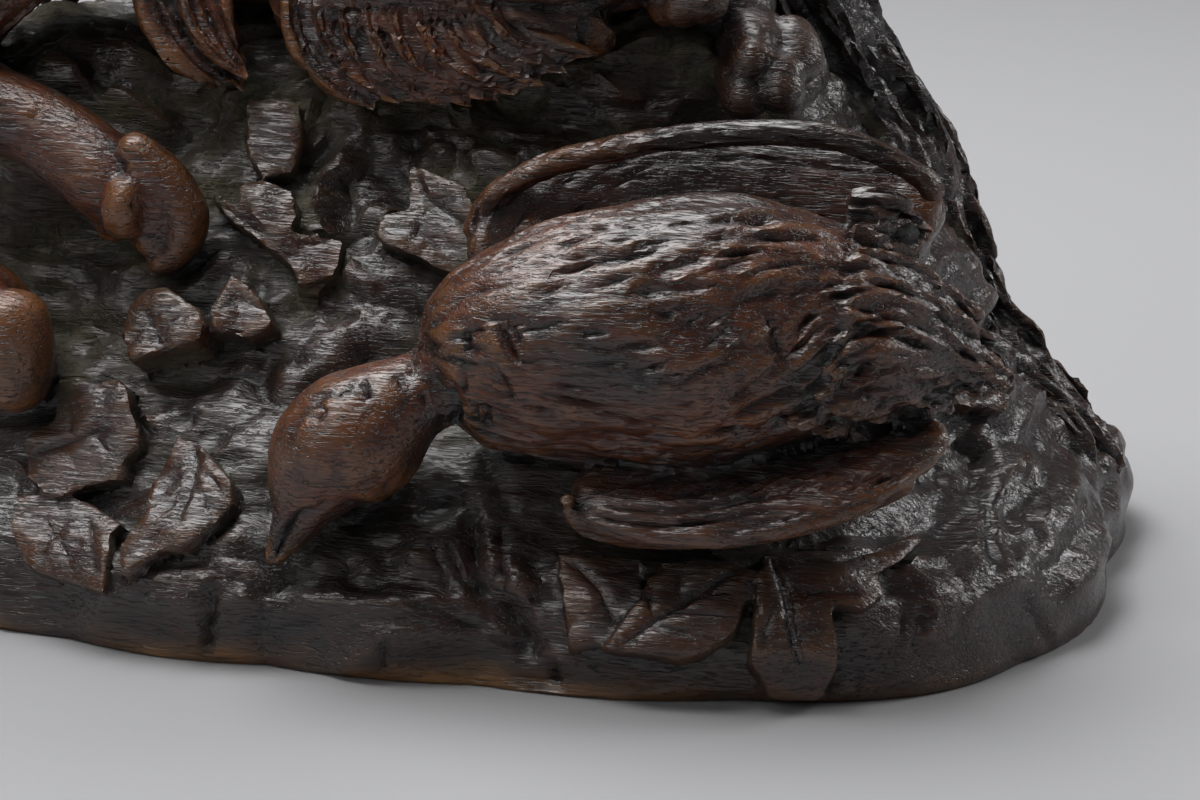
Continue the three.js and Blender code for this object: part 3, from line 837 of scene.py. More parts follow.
def hair_line(share):
    """The line of one lock of chest hair, from the left guide at 0 to the right one at 1."""
    left, right = (0, 1) if share < 0.5 else (1, 2)
    between = 2 * share - left
    return [((1 - between) * a[0] + between * b[0], (1 - between) * a[1] + between * b[1])
            for a, b in zip(HAIR_GUIDES[left], HAIR_GUIDES[right])]


FRINGE_LOCKS = 27
for number in range(FRINGE_LOCKS):
    path = hair_line(number / (FRINGE_LOCKS - 1))
    sway = 0.9 * math.sin(number * 2.4)
    path = [(x + sway * k / 4, y - sway * k / 3) for k, (x, y) in enumerate(path[:4 + (number % 3 > 0)])]
    drawn_lock(path, -35.5 + 1.3 * (number % 3), 2.7 + 0.7 * math.sin(number * 1.7), 1.1)

fringe = [
    (-30, -24, 142, 8, 14), (-14, -28, 139, 9, 16), (8, -30, 139, 9, 15), (28, -30, 138, 8, 12),
    (44, -29, 135, 6, 8), (54, -28, 131, 3, 3),
]
limb(COAT, fringe, around=28)

HANGING = [
    # root, bend and tip of a tress, its width, and how many locks it has
    ((-62, -26, 158), (-54, -31, 136), (-36, -32, 116), 7, 5),
    ((-50, -28, 152), (-46, -34, 134), (-42, -33, 118), 6, 4),
    ((-104, 2, 168), (-108, -2, 150), (-104, -8, 128), 10, 7),
    ((-98, 14, 162), (-102, 14, 146), (-100, 12, 122), 10, 7),
    ((-34, 36, 152), (-30, 44, 136), (-20, 46, 118), 11, 6),
    ((0, 38, 150), (6, 46, 134), (18, 46, 116), 11, 6),
    ((36, 40, 152), (42, 47, 134), (54, 46, 114), 11, 6),
]
rng = np.random.default_rng(7)
for root, bend, tip, width, count in HANGING:
    root, bend, tip = (np.array(p, float) for p in (root, bend, tip))
    fall = (tip - root) / np.linalg.norm(tip - root)
    aside = np.cross(fall, (0, 1, 0))
    aside /= np.linalg.norm(aside)
    for k in range(count):
        shift = (2 * k / (count - 1) - 1) * width
        jump = rng.uniform(-3, 3, 3)
        middle = (bend + tip) / 2 + aside * shift * 0.8 + jump
        end = tip + aside * shift * 0.45 + jump * 1.2
        lock([root + aside * shift * 0.8 + jump * 0.4, bend + aside * shift, middle, end], 3.4)

EAR_LOCKS = 7
for side in (-1, 1):
    for k in range(EAR_LOCKS):
        share = k / (EAR_LOCKS - 1) - 0.5
        sway = rng.uniform(-2, 2)
        lock(
            [
                on_head(8 + share * 24, side * 26, -20), on_head(7 + share * 30 + sway, side * 28, -38),
                on_head(7 + share * 26, side * 27, -56),
                on_head(8 + share * 14 + sway, side * 25, -70 + abs(share) * 18),
            ],
            3.0, up=tuple(look),
        )

# The long feathered tail, draped over the right-hand end of the rock down to the rim. Locks are carved
# along it all round, and the longest of them lie on the rim.
tail_line = [
    (66, 18, 166, 12, 14), (84, 27, 140, 13, 14), (97, 35, 114, 13, 15), (111, 39, 92, 13, 16),
    (118, 39, 70, 13, 17), (126, 37, 48, 13, 15), (144, 34, 33, 13, 12), (161, 28, 22, 8, 7),
]
limb(TAIL, tail_line, up=(0, 1, 0), around=40)
core = smooth_line(tail_line, 4.0)
_, tail_side, tail_over = axes_along(core, (0, 1, 0))
TAIL_LOCKS = 46
for number in range(TAIL_LOCKS):
    start = 3 + int((len(core) - 14) * number / TAIL_LOCKS)
    turn = rng.uniform(-0.2, math.pi + 0.2) if number % 3 else rng.uniform(math.pi, 2 * math.pi)
    path = []
    for k, out in enumerate((0.86, 1.06, 1.1, 0.98)):
        row = min(start + 3 * k, len(core) - 1)
        half_wide, half_high = core[row, 3:]
        reach = tail_side[row] * math.cos(turn) * half_wide + tail_over[row] * math.sin(turn) * half_high
        path.append(core[row, :3] + reach * out + rng.uniform(-0.8, 0.8, 3))
    lock(path, 3.2, kind=TAIL)
for root, bend, tip in (
    ((134, 26, 44), (152, 20, 34), (167, 14, 20)), ((140, 36, 42), (156, 32, 34), (172, 28, 18)),
    ((134, 44, 44), (150, 46, 34), (163, 44, 20)), ((96, 46, 110), (106, 56, 92), (114, 60, 70)),
    ((112, 50, 84), (118, 60, 66), (128, 62, 46)),
):
    root, bend, tip = (np.array(p, float) for p in (root, bend, tip))
    for k in range(5):
        jump = rng.uniform(-2.6, 2.6, 3)
        end = tip + (0, jump[1], abs(jump[2]))
        lock([root + jump, bend + jump * 1.2, (bend + tip) / 2 + jump, end], 3.8, kind=TAIL)

# All the rough forms joined into one skin, as they are one block of wood. The faces of the rough forms
# are kept in a tree, so that each point of the new skin can be traced to the form that it came from.
SKIN_STEP = 0.8
bpy.ops.object.select_all(action="DESELECT")
for form in forms:
    bpy.data.objects[form["name"]].select_set(True)
bpy.context.view_layer.objects.active = bpy.data.objects[forms[0]["name"]]
bpy.ops.object.join()
carving = bpy.context.active_object
rough_skin = BVHTree.FromObject(carving, bpy.context.evaluated_depsgraph_get())
form_of_face = np.empty(len(carving.data.polygons), np.int32)
carving.data.attributes["form"].data.foreach_get("value", form_of_face)
remesh = carving.modifiers.new("one_skin", "REMESH")
remesh.mode = "VOXEL"
remesh.voxel_size = SKIN_STEP * MM
bpy.ops.object.modifier_apply(modifier="one_skin")

# The tool work. Every cut is made in the joined skin itself, pushed in or out along its own surface:
# first the broad gouge facets of the rock and the locks of hair, then veins, barbs and single cuts.
points = read_points(carving)
count = len(points)


def forms_under(places):
    """Which rough form each point of the skin came from, and its kind."""
    nearest = form_of_face[[rough_skin.find_nearest(place)[2] for place in (places * MM).tolist()]]
    return nearest, np.array([form["kind"] for form in forms])[nearest]


def skin_normals():
    """The outward direction at each point of the skin."""
    flat = np.empty(len(carving.data.vertices) * 3, np.float32)
    carving.data.vertices.foreach_get("normal", flat)
    return flat.reshape(-1, 3).astype(float)


def ramp(value, low, high):
    """0 below low, 1 above high, and a soft rise between."""
    t = np.clip((value - low) / (high - low), 0, 1)
    return t * t * (3 - 2 * t)


def chips(q, seed):
    """Flat chips that meet in crisp edges, 0 to 1: steady random heights at the corners of a net of
    triangles with sides of about one unit, and a plane between every three."""
    slanted = q + 0.366 * q.sum(1)[:, None]
    corner = np.floor(slanted).astype(np.int64)
    x, y = (slanted - corner).T
    other = np.where((x > y)[:, None], (1, 0), (0, 1))
    high = scatter(corner, seed) * (1 - np.maximum(x, y)) + scatter(corner + other, seed) * np.abs(x - y)
    return high + scatter(corner + 1, seed) * np.minimum(x, y)


def gouged(q, seed):
    """Hollow gouge cuts side by side, 0 to 1, that meet in sharp ridges."""
    cell = np.floor(q).astype(np.int64)
    nearest = np.full(len(q), 9.0)
    for step in product((-1, 0, 1), repeat=2):
        lattice = cell + step
        jitter = np.stack([scatter(lattice, seed), scatter(lattice, seed + 1)], axis=1)
        middle = lattice + 0.5 + 0.7 * (jitter - 0.5)
        nearest = np.minimum(nearest, ((q - middle) ** 2).sum(1) + 0.3 * scatter(lattice, seed + 2))
    return np.minimum(nearest, 1)


def strands(q, seed):
    """Long soft ridges, 0 to 1, with a sharp valley between them."""
    return np.sqrt(np.abs(2 * noise(q, seed) - 1))


def bent_axes(places, line, up):
    """Where places lie along a form's middle line, across it and over it, and the line's direction."""
    line_ahead, line_side, line_over = axes_along(line, up)
    squares = (places**2).sum(1)[:, None] + (line[:, :3] ** 2).sum(1)[None] - 2 * places @ line[:, :3].T
    row = squares.argmin(1)
    travelled = np.concatenate([[0], np.cumsum(np.linalg.norm(np.diff(line[:, :3], axis=0), axis=1))])
    away = places - line[row, :3]
    along = travelled[row] + (away * line_ahead[row]).sum(1)
    return along, (away * line_side[row]).sum(1), (away * line_over[row]).sum(1), line_ahead[row]


def stroke(places, path, width, depth):
    """How deep one stroke of a veining tool along a path on the drawing cuts, tapering at its ends."""
    path = np.array(path)
    cut = np.zeros(len(places))
    low, high = path.min(0) - width, path.max(0) + width
    close = np.flatnonzero(((places > low) & (places < high)).all(1))
    spots = places[close]
    lengths = np.linalg.norm(np.diff(path, axis=0), axis=1)
    total = lengths.sum()
    deepest = np.zeros(len(spots))
    before = 0.0
    for a, b, length in zip(path, path[1:], lengths):
        along = np.clip(((spots - a) @ (b - a)) / length**2, 0, 1)
        gap = np.linalg.norm(spots - a - along[:, None] * (b - a), axis=1)
        share = (before + along * length) / total
        taper = np.minimum(1, 5 * np.minimum(share + 0.04, 1.04 - share))
        deepest = np.maximum(deepest, np.maximum(0, 1 - gap / width) * taper)
        before += length
    cut[close] = depth * deepest
    return cut


def strokes(cuts):
    """How deep a list of strokes on the drawing cuts each point of the skin that faces the eye."""
    return sum(stroke(drawn, path, width, depth) for path, width, depth in cuts) * faces_eye


form_here, kind_here = forms_under(points)
drawn = on_drawing(points)
normals = skin_normals()
faces_eye = ramp(-(normals * (points - eye)).sum(1) / np.linalg.norm(points - eye, axis=1), 0.02, 0.25)
is_ground = np.isin(kind_here, (GROUND, ROCK))
is_leaf = kind_here == LEAF
is_wing = kind_here == WING
push = np.zeros(count)      # how far each point of the skin moves outwards, in millimetres

# The rock is cut in knife facets, larger and cleaner at the right-hand end, with the low rim below it
# in broad upright scoops. Its foot stays flat.
angle = np.arctan2(points[:, 1] - AXIS_Y, points[:, 0])
spread = np.hypot(points[:, 0], points[:, 1] - AXIS_Y)
climb = points[:, 2] + 0.9 * (mound_reach(np.full(count, 3.0), angle) - spread)
around = angle * 118
cuttable = np.flatnonzero(is_ground | is_leaf)
lie = np.stack([around, climb], axis=1)[cuttable]
warp = np.stack([layered(lie / 22, 71, 2), layered(lie / 22, 73, 2)], axis=1)
right_end = ramp(points[cuttable, 0], 100, 140)
# Broad planes first, then middling chips, gouge hollows and fine chips, each with its own seed.
rock = 5.4 * (chips(lie / (19, 13) + warp * 0.5, 101) - 0.5) * (1 + 0.3 * right_end)
rock += 2.6 * (chips(lie / (9, 7) + warp * 0.9, 105) - 0.5) * (1 - 0.3 * right_end)
rock += 1.3 * (gouged(lie / (8, 5.5) + warp * 0.8, 107) - 0.45)
rock += 0.5 * (chips(lie / (4, 3) + warp * 1.6, 109) - 0.5) * (1 - 0.8 * right_end)
rim = 4.6 * (
    gouged(np.stack([around[cuttable] / 21 + 0.3 * warp[:, 0], 0.06 * lie[:, 1]], axis=1), 113) - 0.45
)
rim += 1.6 * (chips(lie / (11, 8) + warp * 0.6, 117) - 0.5)
above_rim = ramp(points[cuttable, 2], 12, 19)
blade = 1.1 * (chips(lie / (8, 6) + warp, 121) - 0.5) + 0.12 * layered(points[cuttable] / 2.0, 125, 2)
push[cuttable] += np.where(is_ground[cuttable], rock * above_rim + (rim - 0.8) * (1 - above_rim), blade)

RIDGES = [
    # crest on the drawing, half width, height
    (
        [
            (209.5, 85.0), (212.6, 77.0), (216.7, 68.0), (220.3, 65.9), (218.2, 57.6), (220.3, 50.4),
            (227.5, 48.4), (232.7, 43.2), (236.2, 32.4),
        ],
        6.5, 2.4,
    ),
    ([(224.6, 83.2), (225.0, 67.0), (227.0, 55.1), (227.9, 48.8)], 5.0, 2.0),
    ([(231.8, 74.2), (234.9, 65.0), (240.1, 53.6), (245.7, 49.1), (246.6, 37.8)], 5.5, 2.2),
    ([(200.2, 54.0), (209.2, 45.0), (211.5, 31.5)], 5.0, 1.4),
    ([(90.0, 54.0), (105.8, 67.5), (126.0, 72.0)], 5.0, 1.2),
    ([(77.6, 153.0), (94.5, 142.9), (117.0, 146.2), (137.2, 148.5)], 6.0, 1.8),
    ([(13.5, 105.8), (24.8, 112.5), (33.8, 115.9)], 6.0, 1.6),
]
push += np.where(is_ground, strokes(RIDGES), 0)

GROUND_STROKES = [
    # path on the drawing, width, depth
    (
        [
            (26.1, 49.3), (34.4, 52.2), (38.5, 54.0), (44.1, 53.8), (52.4, 50.2), (57.1, 47.5),
            (61.9, 46.8), (66.2, 50.0), (72.2, 50.6),
        ],
        2.6, 2.0,
    ),
    ([(72.2, 50.6), (85.5, 47.2), (99.0, 42.8), (112.5, 36.0), (122.6, 29.7)], 2.0, 1.2),
    ([(48.1, 50.6), (47.5, 42.8), (46.1, 31.5)], 2.4, 2.4), ([(35.8, 53.1), (30.4, 42.8)], 1.4, 1.0),
    ([(59.2, 47.0), (58.5, 30.4)], 1.2, 0.8), ([(86.6, 36.0), (86.4, 27.9)], 1.6, 1.6),
    ([(124.0, 31.5), (124.4, 21.4)], 2.0, 2.0),
    ([(105.8, 66.4), (106.7, 56.2), (108.0, 45.9)], 2.8, 2.4),
    ([(109.8, 47.7), (115.2, 42.3), (120.2, 31.5)], 4.6, 3.4),
    ([(96.8, 57.4), (101.7, 47.2)], 1.0, 0.8), ([(100.4, 58.5), (105.3, 47.7)], 1.0, 0.8),
    ([(112.5, 63.0), (113.6, 49.5)], 1.1, 0.8), ([(185.2, 36.0), (186.8, 19.8)], 2.2, 2.2),
    ([(203.6, 45.0), (202.1, 32.6)], 1.2, 0.7), ([(207.0, 43.9), (205.9, 32.6)], 1.2, 0.8),
    ([(211.5, 45.0), (210.6, 33.8)], 1.2, 0.7), ([(215.6, 47.2), (216.0, 36.0)], 1.4, 0.8),
    ([(215.8, 81.9), (219.4, 79.7), (222.3, 76.7)], 3.4, 2.6),
    ([(216.7, 72.5), (222.3, 66.4)], 2.6, 1.6),
    ([(225.2, 67.5), (227.2, 55.1), (229.5, 47.7)], 2.6, 2.0),
    ([(235.3, 64.1), (240.5, 53.6), (246.6, 48.4)], 2.4, 1.8),
    ([(221.6, 63.0), (220.1, 57.4), (221.8, 51.3)], 2.4, 1.8),
    ([(227.7, 47.2), (234.0, 41.0), (237.6, 31.5)], 2.2, 1.6),
    ([(232.7, 74.2), (238.5, 63.0), (244.1, 54.0)], 1.6, 1.0),
    ([(54.0, 158.0), (59.0, 153.0), (60.3, 142.9)], 1.8, 1.2),
    ([(64.1, 157.5), (62.6, 149.6), (65.2, 141.8)], 1.6, 1.2),
    ([(77.6, 141.8), (79.2, 131.6), (76.5, 126.0)], 2.4, 1.8),
    ([(67.5, 139.5), (74.2, 137.7), (79.2, 135.0)], 1.6, 1.2),
    ([(126.0, 158.4), (137.2, 155.7), (148.5, 154.8), (163.8, 155.7)], 2.2, 1.4),
    ([(112.5, 155.2), (121.5, 151.9), (132.8, 150.3)], 1.8, 1.2),
    ([(85.5, 150.8), (94.5, 152.6), (105.8, 150.3)], 1.2, 1.0),
    ([(90.0, 146.2), (99.0, 148.5), (108.0, 146.2)], 1.2, 1.0),
    ([(25.2, 178.2), (32.2, 176.4), (34.9, 170.8), (38.5, 164.0)], 1.4, 1.0),
    ([(22.1, 176.0), (29.2, 174.2), (31.9, 168.8)], 1.2, 0.8),
    ([(19.4, 167.0), (22.1, 163.8), (24.3, 159.8)], 5.0, 5.0),
]
push -= np.where(is_ground, strokes(GROUND_STROKES), 0)

# Each leaf has a midrib and side veins cut into it with a veining tool. Those on the front follow the
# drawing, and those round the hidden sides have a plain set of their own.
LEAF_STROKES = [
    ([(6.8, 77.6), (17.6, 81.5), (27.4, 84.6)], 1.0, 0.8),
    ([(13.5, 79.7), (17.1, 74.2), (18.9, 71.5)], 0.8, 0.5),
    ([(20.7, 82.6), (24.3, 78.3), (26.6, 74.7)], 0.8, 0.5),
    ([(15.8, 81.0), (16.2, 86.6), (14.4, 91.1)], 0.8, 0.5),
    ([(22.1, 83.0), (23.4, 87.8), (22.5, 92.7)], 0.8, 0.5),
    ([(9.5, 64.8), (13.1, 58.5), (16.7, 51.8)], 0.9, 0.7),
    ([(14.8, 63.0), (11.2, 57.4), (9.0, 52.9)], 0.9, 0.7),
    ([(18.9, 64.8), (20.7, 58.5), (22.1, 49.5)], 0.8, 0.5),
    ([(43.6, 80.8), (43.9, 75.4), (42.8, 69.8), (38.2, 60.8)], 1.1, 0.9),
    ([(43.6, 75.4), (48.1, 72.0), (50.9, 67.5)], 0.9, 0.6),
    ([(43.2, 71.5), (45.9, 67.5), (46.8, 63.0)], 0.9, 0.6),
    ([(42.8, 74.2), (38.7, 72.0), (35.1, 68.0)], 0.9, 0.6),
    ([(41.9, 69.3), (37.8, 66.4), (33.8, 62.6)], 0.9, 0.6),
    ([(40.1, 64.8), (35.6, 60.8), (30.6, 55.8)], 0.9, 0.6),
    ([(28.1, 102.4), (33.8, 108.5), (40.5, 112.5)], 0.8, 0.5),
    ([(32.6, 101.2), (37.1, 106.9), (43.9, 109.8)], 0.8, 0.5),
    ([(31.5, 112.5), (34.9, 105.8), (36.0, 100.8)], 0.8, 0.5),
    ([(48.4, 110.2), (54.0, 112.5), (59.0, 110.2)], 0.8, 0.5),
    ([(53.1, 116.5), (54.0, 110.2), (53.1, 105.3)], 0.8, 0.5),
    ([(48.4, 135.0), (57.4, 127.8), (67.5, 121.0)], 0.9, 0.7),
    ([(60.8, 126.0), (69.8, 124.9), (76.5, 126.0)], 0.9, 0.6),
    ([(92.2, 142.9), (96.3, 135.0), (101.2, 131.6), (107.3, 127.8)], 1.4, 1.2),
    ([(85.5, 128.7), (94.5, 127.8), (103.5, 123.8)], 0.9, 0.6),
    ([(96.8, 133.9), (94.0, 128.2), (91.1, 123.8)], 0.9, 0.6),
    ([(137.7, 33.3), (144.0, 37.6), (155.2, 45.5), (169.2, 54.0)], 1.3, 1.1),
    ([(146.2, 39.4), (155.2, 37.8), (163.1, 36.0)], 0.9, 0.7),
    ([(150.3, 42.3), (157.5, 42.3), (166.1, 41.0)], 0.9, 0.7),
    ([(155.2, 45.5), (162.5, 46.8), (168.3, 45.9)], 0.9, 0.6),
    ([(147.4, 40.5), (145.8, 45.0), (146.2, 49.5)], 0.9, 0.7),
    ([(153.0, 44.1), (152.6, 48.4), (153.5, 52.6)], 0.9, 0.7),
    ([(128.2, 54.0), (135.0, 47.2), (138.4, 38.2)], 0.9, 0.7),
    ([(132.8, 50.6), (138.4, 51.3), (143.1, 52.6)], 0.8, 0.5),
    ([(172.8, 56.9), (176.0, 47.2), (178.2, 36.0), (180.9, 25.2)], 1.2, 1.1),
    ([(174.6, 56.9), (177.8, 47.2), (180.0, 36.0), (182.7, 24.8)], 0.9, 0.8),
    ([(176.0, 54.9), (187.4, 53.6), (198.2, 56.7), (205.9, 58.5)], 1.0, 0.8),
    ([(178.2, 46.1), (185.6, 47.2), (193.5, 46.8)], 0.8, 0.6),
    ([(179.1, 39.4), (183.4, 39.4), (187.2, 38.2)], 0.8, 0.6),
    ([(174.6, 45.0), (172.8, 39.4), (171.0, 33.8)], 0.8, 0.6),
]
push -= np.where(is_leaf, strokes(LEAF_STROKES), 0)
for number, (at, length_way, width_way) in leaf_frames.items():
    here = np.flatnonzero(form_here == number)
    flat = np.stack([(points[here] - at) @ length_way, (points[here] - at) @ width_way], axis=1)
    veins = stroke(flat, [(-18, 0), (0, 0.8), (18, 0)], 1.1, 1.0)
    for k in range(-2, 3):
        for way in (-1, 1):
            veins += stroke(flat, [(k * 5.0, 0), (k * 5.0 + 5.5, way * 9.0)], 0.9, 0.6)
    push[here] -= veins

# The bird: soft tufts that overlap towards the tail, fine feather cuts along them, and the single deep
# cuts at the neck, in the folds and on the lower side. Which way the feathers run, on the drawing:
FEATHER_FLOW = [
    # place and direction in degrees, anticlockwise from the right
    ((99.0, 90.0), -10), ((108.0, 105.8), 4), ((126.0, 114.8), 12), ((146.2, 128.2), 6),
    ((180.0, 135.0), -4), ((135.0, 103.5), 6), ((135.0, 83.2), -8), ((157.5, 117.0), 16),
    ((162.0, 101.2), 42), ((177.8, 103.5), 46), ((166.5, 90.0), 30), ((191.2, 96.8), 34),
    ((198.0, 112.5), 6), ((209.2, 105.8), -26), ((216.0, 114.8), -32), ((202.5, 90.0), -6),
    ((153.0, 78.8), 6), ((74.2, 83.2), -118), ((67.5, 67.5), -112), ((85.5, 93.4), -160),
    ((94.5, 99.0), 178),
]


def flow_on_drawing(guides):
    """The direction of flow at each point of the skin, laid on its surface, from guides on the drawing."""
    pull = np.zeros((count, 2))
    for place, degrees in guides:
        weight = 1 / (((drawn - place) ** 2).sum(1) + 4.0) ** 1.5
        way = math.radians(degrees)
        pull += weight[:, None] * (math.cos(way), math.sin(way))
    pull /= np.linalg.norm(pull, axis=1, keepdims=True)
    way = pull[:, :1] * view_right + pull[:, 1:] * view_up
    way -= (way * normals).sum(1, keepdims=True) * normals
    return way / np.maximum(np.linalg.norm(way, axis=1, keepdims=True), 1e-6)


tree = KDTree(count)
for number, place in enumerate(points.tolist()):
    tree.insert(place, number)
tree.balance()


def score(spot, way, length, width, depth):
    """One short tapering cut, centred on a point of the skin."""
    near = np.array([found[1] for found in tree.find_range(points[spot], length / 2)])
    away = points[near] - points[spot]
    along = away @ way
    gap = np.sqrt(np.maximum(0, (away**2).sum(1) - along**2 - (away @ normals[spot]) ** 2))
    push[near] -= depth * np.maximum(0, 1 - gap / width) * (1 - (2 * along / length) ** 2)


def tool_marks(where, marks, flow, length, width, depth, seed):
    """Short cuts scattered over part of the skin, each along the flow there."""
    dice = np.random.default_rng(seed)
    spots = dice.choice(np.flatnonzero(where), marks)
    for spot, (long, wide, deep) in zip(spots, dice.uniform(0.6, 1.4, (marks, 3))):
        score(spot, flow[spot], length * long, width * wide, depth * deep)


def hatching(where, groups, length, spacing, depth, seed):
    """Groups of side-by-side knife cuts, each group in a direction of its own."""
    dice = np.random.default_rng(seed)
    for spot in dice.choice(np.flatnonzero(where), groups):
        way = dice.normal(size=3) * (1, 1, 0.5)
        way -= (way @ normals[spot]) * normals[spot]
        way /= np.linalg.norm(way)
        side = np.cross(normals[spot], way)
        for k in range(dice.integers(4, 9)):
            _, beside, _ = tree.find(points[spot] + side * spacing * k + way * dice.uniform(-1, 1))
            score(beside, way, length * dice.uniform(0.7, 1.2), 0.8, depth * dice.uniform(0.6, 1.2))


hatching(is_ground & (points[:, 2] > 18), groups=150, length=8.0, spacing=1.6, depth=0.5, seed=137)
hatching(is_leaf, groups=40, length=7.0, spacing=1.4, depth=0.3, seed=139)
flow = flow_on_drawing(FEATHER_FLOW)
here = np.flatnonzero(kind_here == BIRD)
along, across, over, _ = bent_axes(points[here], smooth_line(bird_body, 2.0), (0, 0, 1))
swell = layered(np.stack([along / 21, across / 11, over / 11], axis=1), 131, 2)
push[here] += ramp(along, 4, 26) * swell * 2.2
locks = strands(np.stack([along / 24 + swell, across / 6.5, over / 6.5], axis=1), 133)
patchy = ramp(layered(points[here] / 24, 137, 2), -0.4, 0.4)
push[here] += ramp(along, 20, 60) * 1.1 * (locks - 0.6) * patchy
push[here] += 0.22 * (strands(np.stack([along / 12, across / 2.4, over / 2.4], axis=1), 135) - 0.6)
BIRD_STROKES = [
    ([(105.3, 105.8), (105.3, 100.4)], 1.1, 1.2), ([(105.3, 105.8), (109.6, 105.8)], 0.9, 0.9),
    ([(112.5, 107.8), (114.3, 103.0), (116.5, 98.3)], 1.6, 1.9),
    ([(114.8, 107.5), (117.5, 102.4)], 1.3, 1.3),
    ([(110.7, 98.3), (113.2, 94.5), (115.4, 89.5)], 1.2, 1.3),
    ([(103.7, 97.4), (104.2, 91.6)], 1.1, 1.1),
    ([(101.2, 93.4), (102.4, 88.2), (102.8, 83.2)], 1.5, 1.8),
    ([(106.2, 89.1), (107.1, 85.3)], 1.1, 1.1), ([(109.1, 89.1), (109.6, 83.2)], 1.3, 1.4),
    ([(98.8, 86.9), (99.9, 83.7)], 1.0, 1.0), ([(95.0, 91.8), (96.1, 88.4)], 1.0, 1.0),
    ([(81.2, 95.0), (83.2, 90.0)], 1.3, 1.3), ([(78.3, 94.0), (78.8, 91.4)], 1.1, 1.1),
    ([(89.5, 95.4), (90.9, 92.2)], 1.1, 1.1), ([(92.0, 100.8), (92.9, 97.7), (92.2, 93.6)], 2.0, 1.2),
    ([(74.2, 91.8), (68.9, 89.1), (65.9, 83.7), (65.2, 79.7)], 1.4, 0.9),
    ([(76.5, 78.8), (75.6, 72.0), (72.5, 67.5)], 1.2, 0.6),
    ([(128.2, 119.2), (132.8, 122.0), (139.5, 122.9), (148.5, 123.8)], 1.6, 1.1),
    ([(145.1, 118.1), (153.0, 120.4), (160.2, 122.6)], 2.6, 1.8),
    ([(142.9, 114.3), (150.3, 115.2), (158.0, 116.1)], 2.4, 1.6),
    ([(146.2, 109.8), (151.9, 108.5)], 1.3, 1.0),
    ([(172.8, 110.2), (175.1, 103.5), (177.8, 96.8)], 2.4, 1.3),
    ([(166.5, 112.0), (171.0, 113.9), (176.0, 115.2)], 2.0, 1.4),
    ([(158.8, 101.7), (165.4, 107.3)], 1.7, 1.4),
    ([(172.8, 98.5), (177.8, 103.5), (185.0, 110.2)], 1.9, 1.6),
    ([(161.1, 89.5), (171.0, 93.4), (180.0, 101.2), (187.2, 108.5)], 1.9, 1.6),
    ([(163.8, 86.2), (177.8, 92.2), (191.2, 103.5), (198.9, 108.5)], 1.8, 1.5),
    ([(174.6, 83.9), (186.8, 90.0), (196.7, 97.2)], 1.8, 1.4),
    ([(157.5, 96.3), (164.2, 98.5), (170.1, 102.2)], 1.6, 1.2),
    ([(155.2, 84.4), (162.0, 83.2), (171.0, 83.7)], 1.6, 1.1),
    ([(135.0, 81.0), (148.5, 78.3), (162.0, 79.7)], 1.3, 0.8),
    ([(122.6, 91.1), (135.0, 87.3), (146.2, 87.8)], 1.3, 0.7),
    ([(126.0, 103.5), (137.2, 101.2), (148.5, 102.4)], 1.2, 0.6),
    ([(132.8, 95.6), (144.0, 94.0), (155.2, 96.3)], 1.3, 0.7),
    ([(166.5, 130.1), (177.8, 131.8), (191.2, 131.0)], 1.8, 1.2),
    ([(164.2, 124.9), (175.5, 126.5), (186.8, 126.0)], 1.6, 1.2),
    ([(137.2, 131.6), (153.0, 135.0), (166.5, 136.8)], 1.4, 0.8),
    ([(191.2, 119.2), (202.5, 115.9), (213.8, 111.4)], 1.5, 1.2),
    ([(193.5, 123.8), (203.6, 121.0), (214.9, 116.1)], 1.4, 1.1),
    ([(189.0, 112.5), (201.4, 108.5), (213.8, 104.0)], 1.5, 1.2),
    ([(191.2, 107.5), (203.6, 103.5), (217.1, 99.5)], 1.3, 1.0),
    ([(70.9, 90.5), (74.7, 91.8), (77.6, 90.5)], 1.1, 0.9),
    ([(70.7, 65.2), (66.6, 63.5), (63.2, 59.2), (61.9, 54.5)], 1.5, 2.0),
    ([(69.8, 88.2), (71.8, 89.1), (73.1, 87.5), (71.8, 85.7), (69.8, 86.4), (69.8, 88.2)], 1.0, 1.0),
]
push -= np.where(np.isin(kind_here, (BIRD, BIRD_HEAD, QUILL)), strokes(BIRD_STROKES), 0)
tool_marks(kind_here == BIRD, marks=1300, flow=flow, length=10.0, width=1.0, depth=0.55, seed=141)
tool_marks(kind_here == BIRD_HEAD, marks=160, flow=flow, length=5.0, width=0.9, depth=0.35, seed=143)
tool_marks(kind_here == QUILL, marks=420, flow=flow, length=12.0, width=0.9, depth=0.5, seed=145)

# The wings: two lips run along the near wing's lower edge, and barbs fan out from them. The far wing's
# hollow is scored along its length.
WING_STROKES = [
    ([(130.1, 65.7), (137.9, 62.8), (148.7, 61.9), (162.7, 63.5), (177.8, 65.9)], 1.1, 1.1),
    ([(131.4, 68.0), (139.5, 65.7), (150.8, 65.0), (164.2, 66.8), (180.0, 69.8)], 1.0, 0.9),
]
BARBS = 17
for k in range(BARBS):
    share = k / (BARBS - 1)
    foot = np.array((135.0, 67.5)) * (1 - share) + np.array((198.0, 69.3)) * share
    head = np.array((157.5, 76.0)) * (1 - share) + np.array((211.1, 77.0)) * share
    WING_STROKES.append(([foot, (foot + head) / 2 + (0, 0.8), head], 0.9, 0.7))
low_wing = is_wing & (drawn[:, 1] < 84)
push -= np.where(low_wing, strokes(WING_STROKES), 0)
wing_flow = flow_on_drawing(
    [
        ((135.0, 146.2), 24), ((157.5, 150.8), 4), ((191.2, 148.5), -10), ((209.2, 139.5), -60),
        ((108.0, 130.5), 70), ((139.5, 72.0), 14), ((202.5, 72.0), 24), ((139.5, 61.9), -8),
        ((193.5, 66.4), 14),
    ]
)
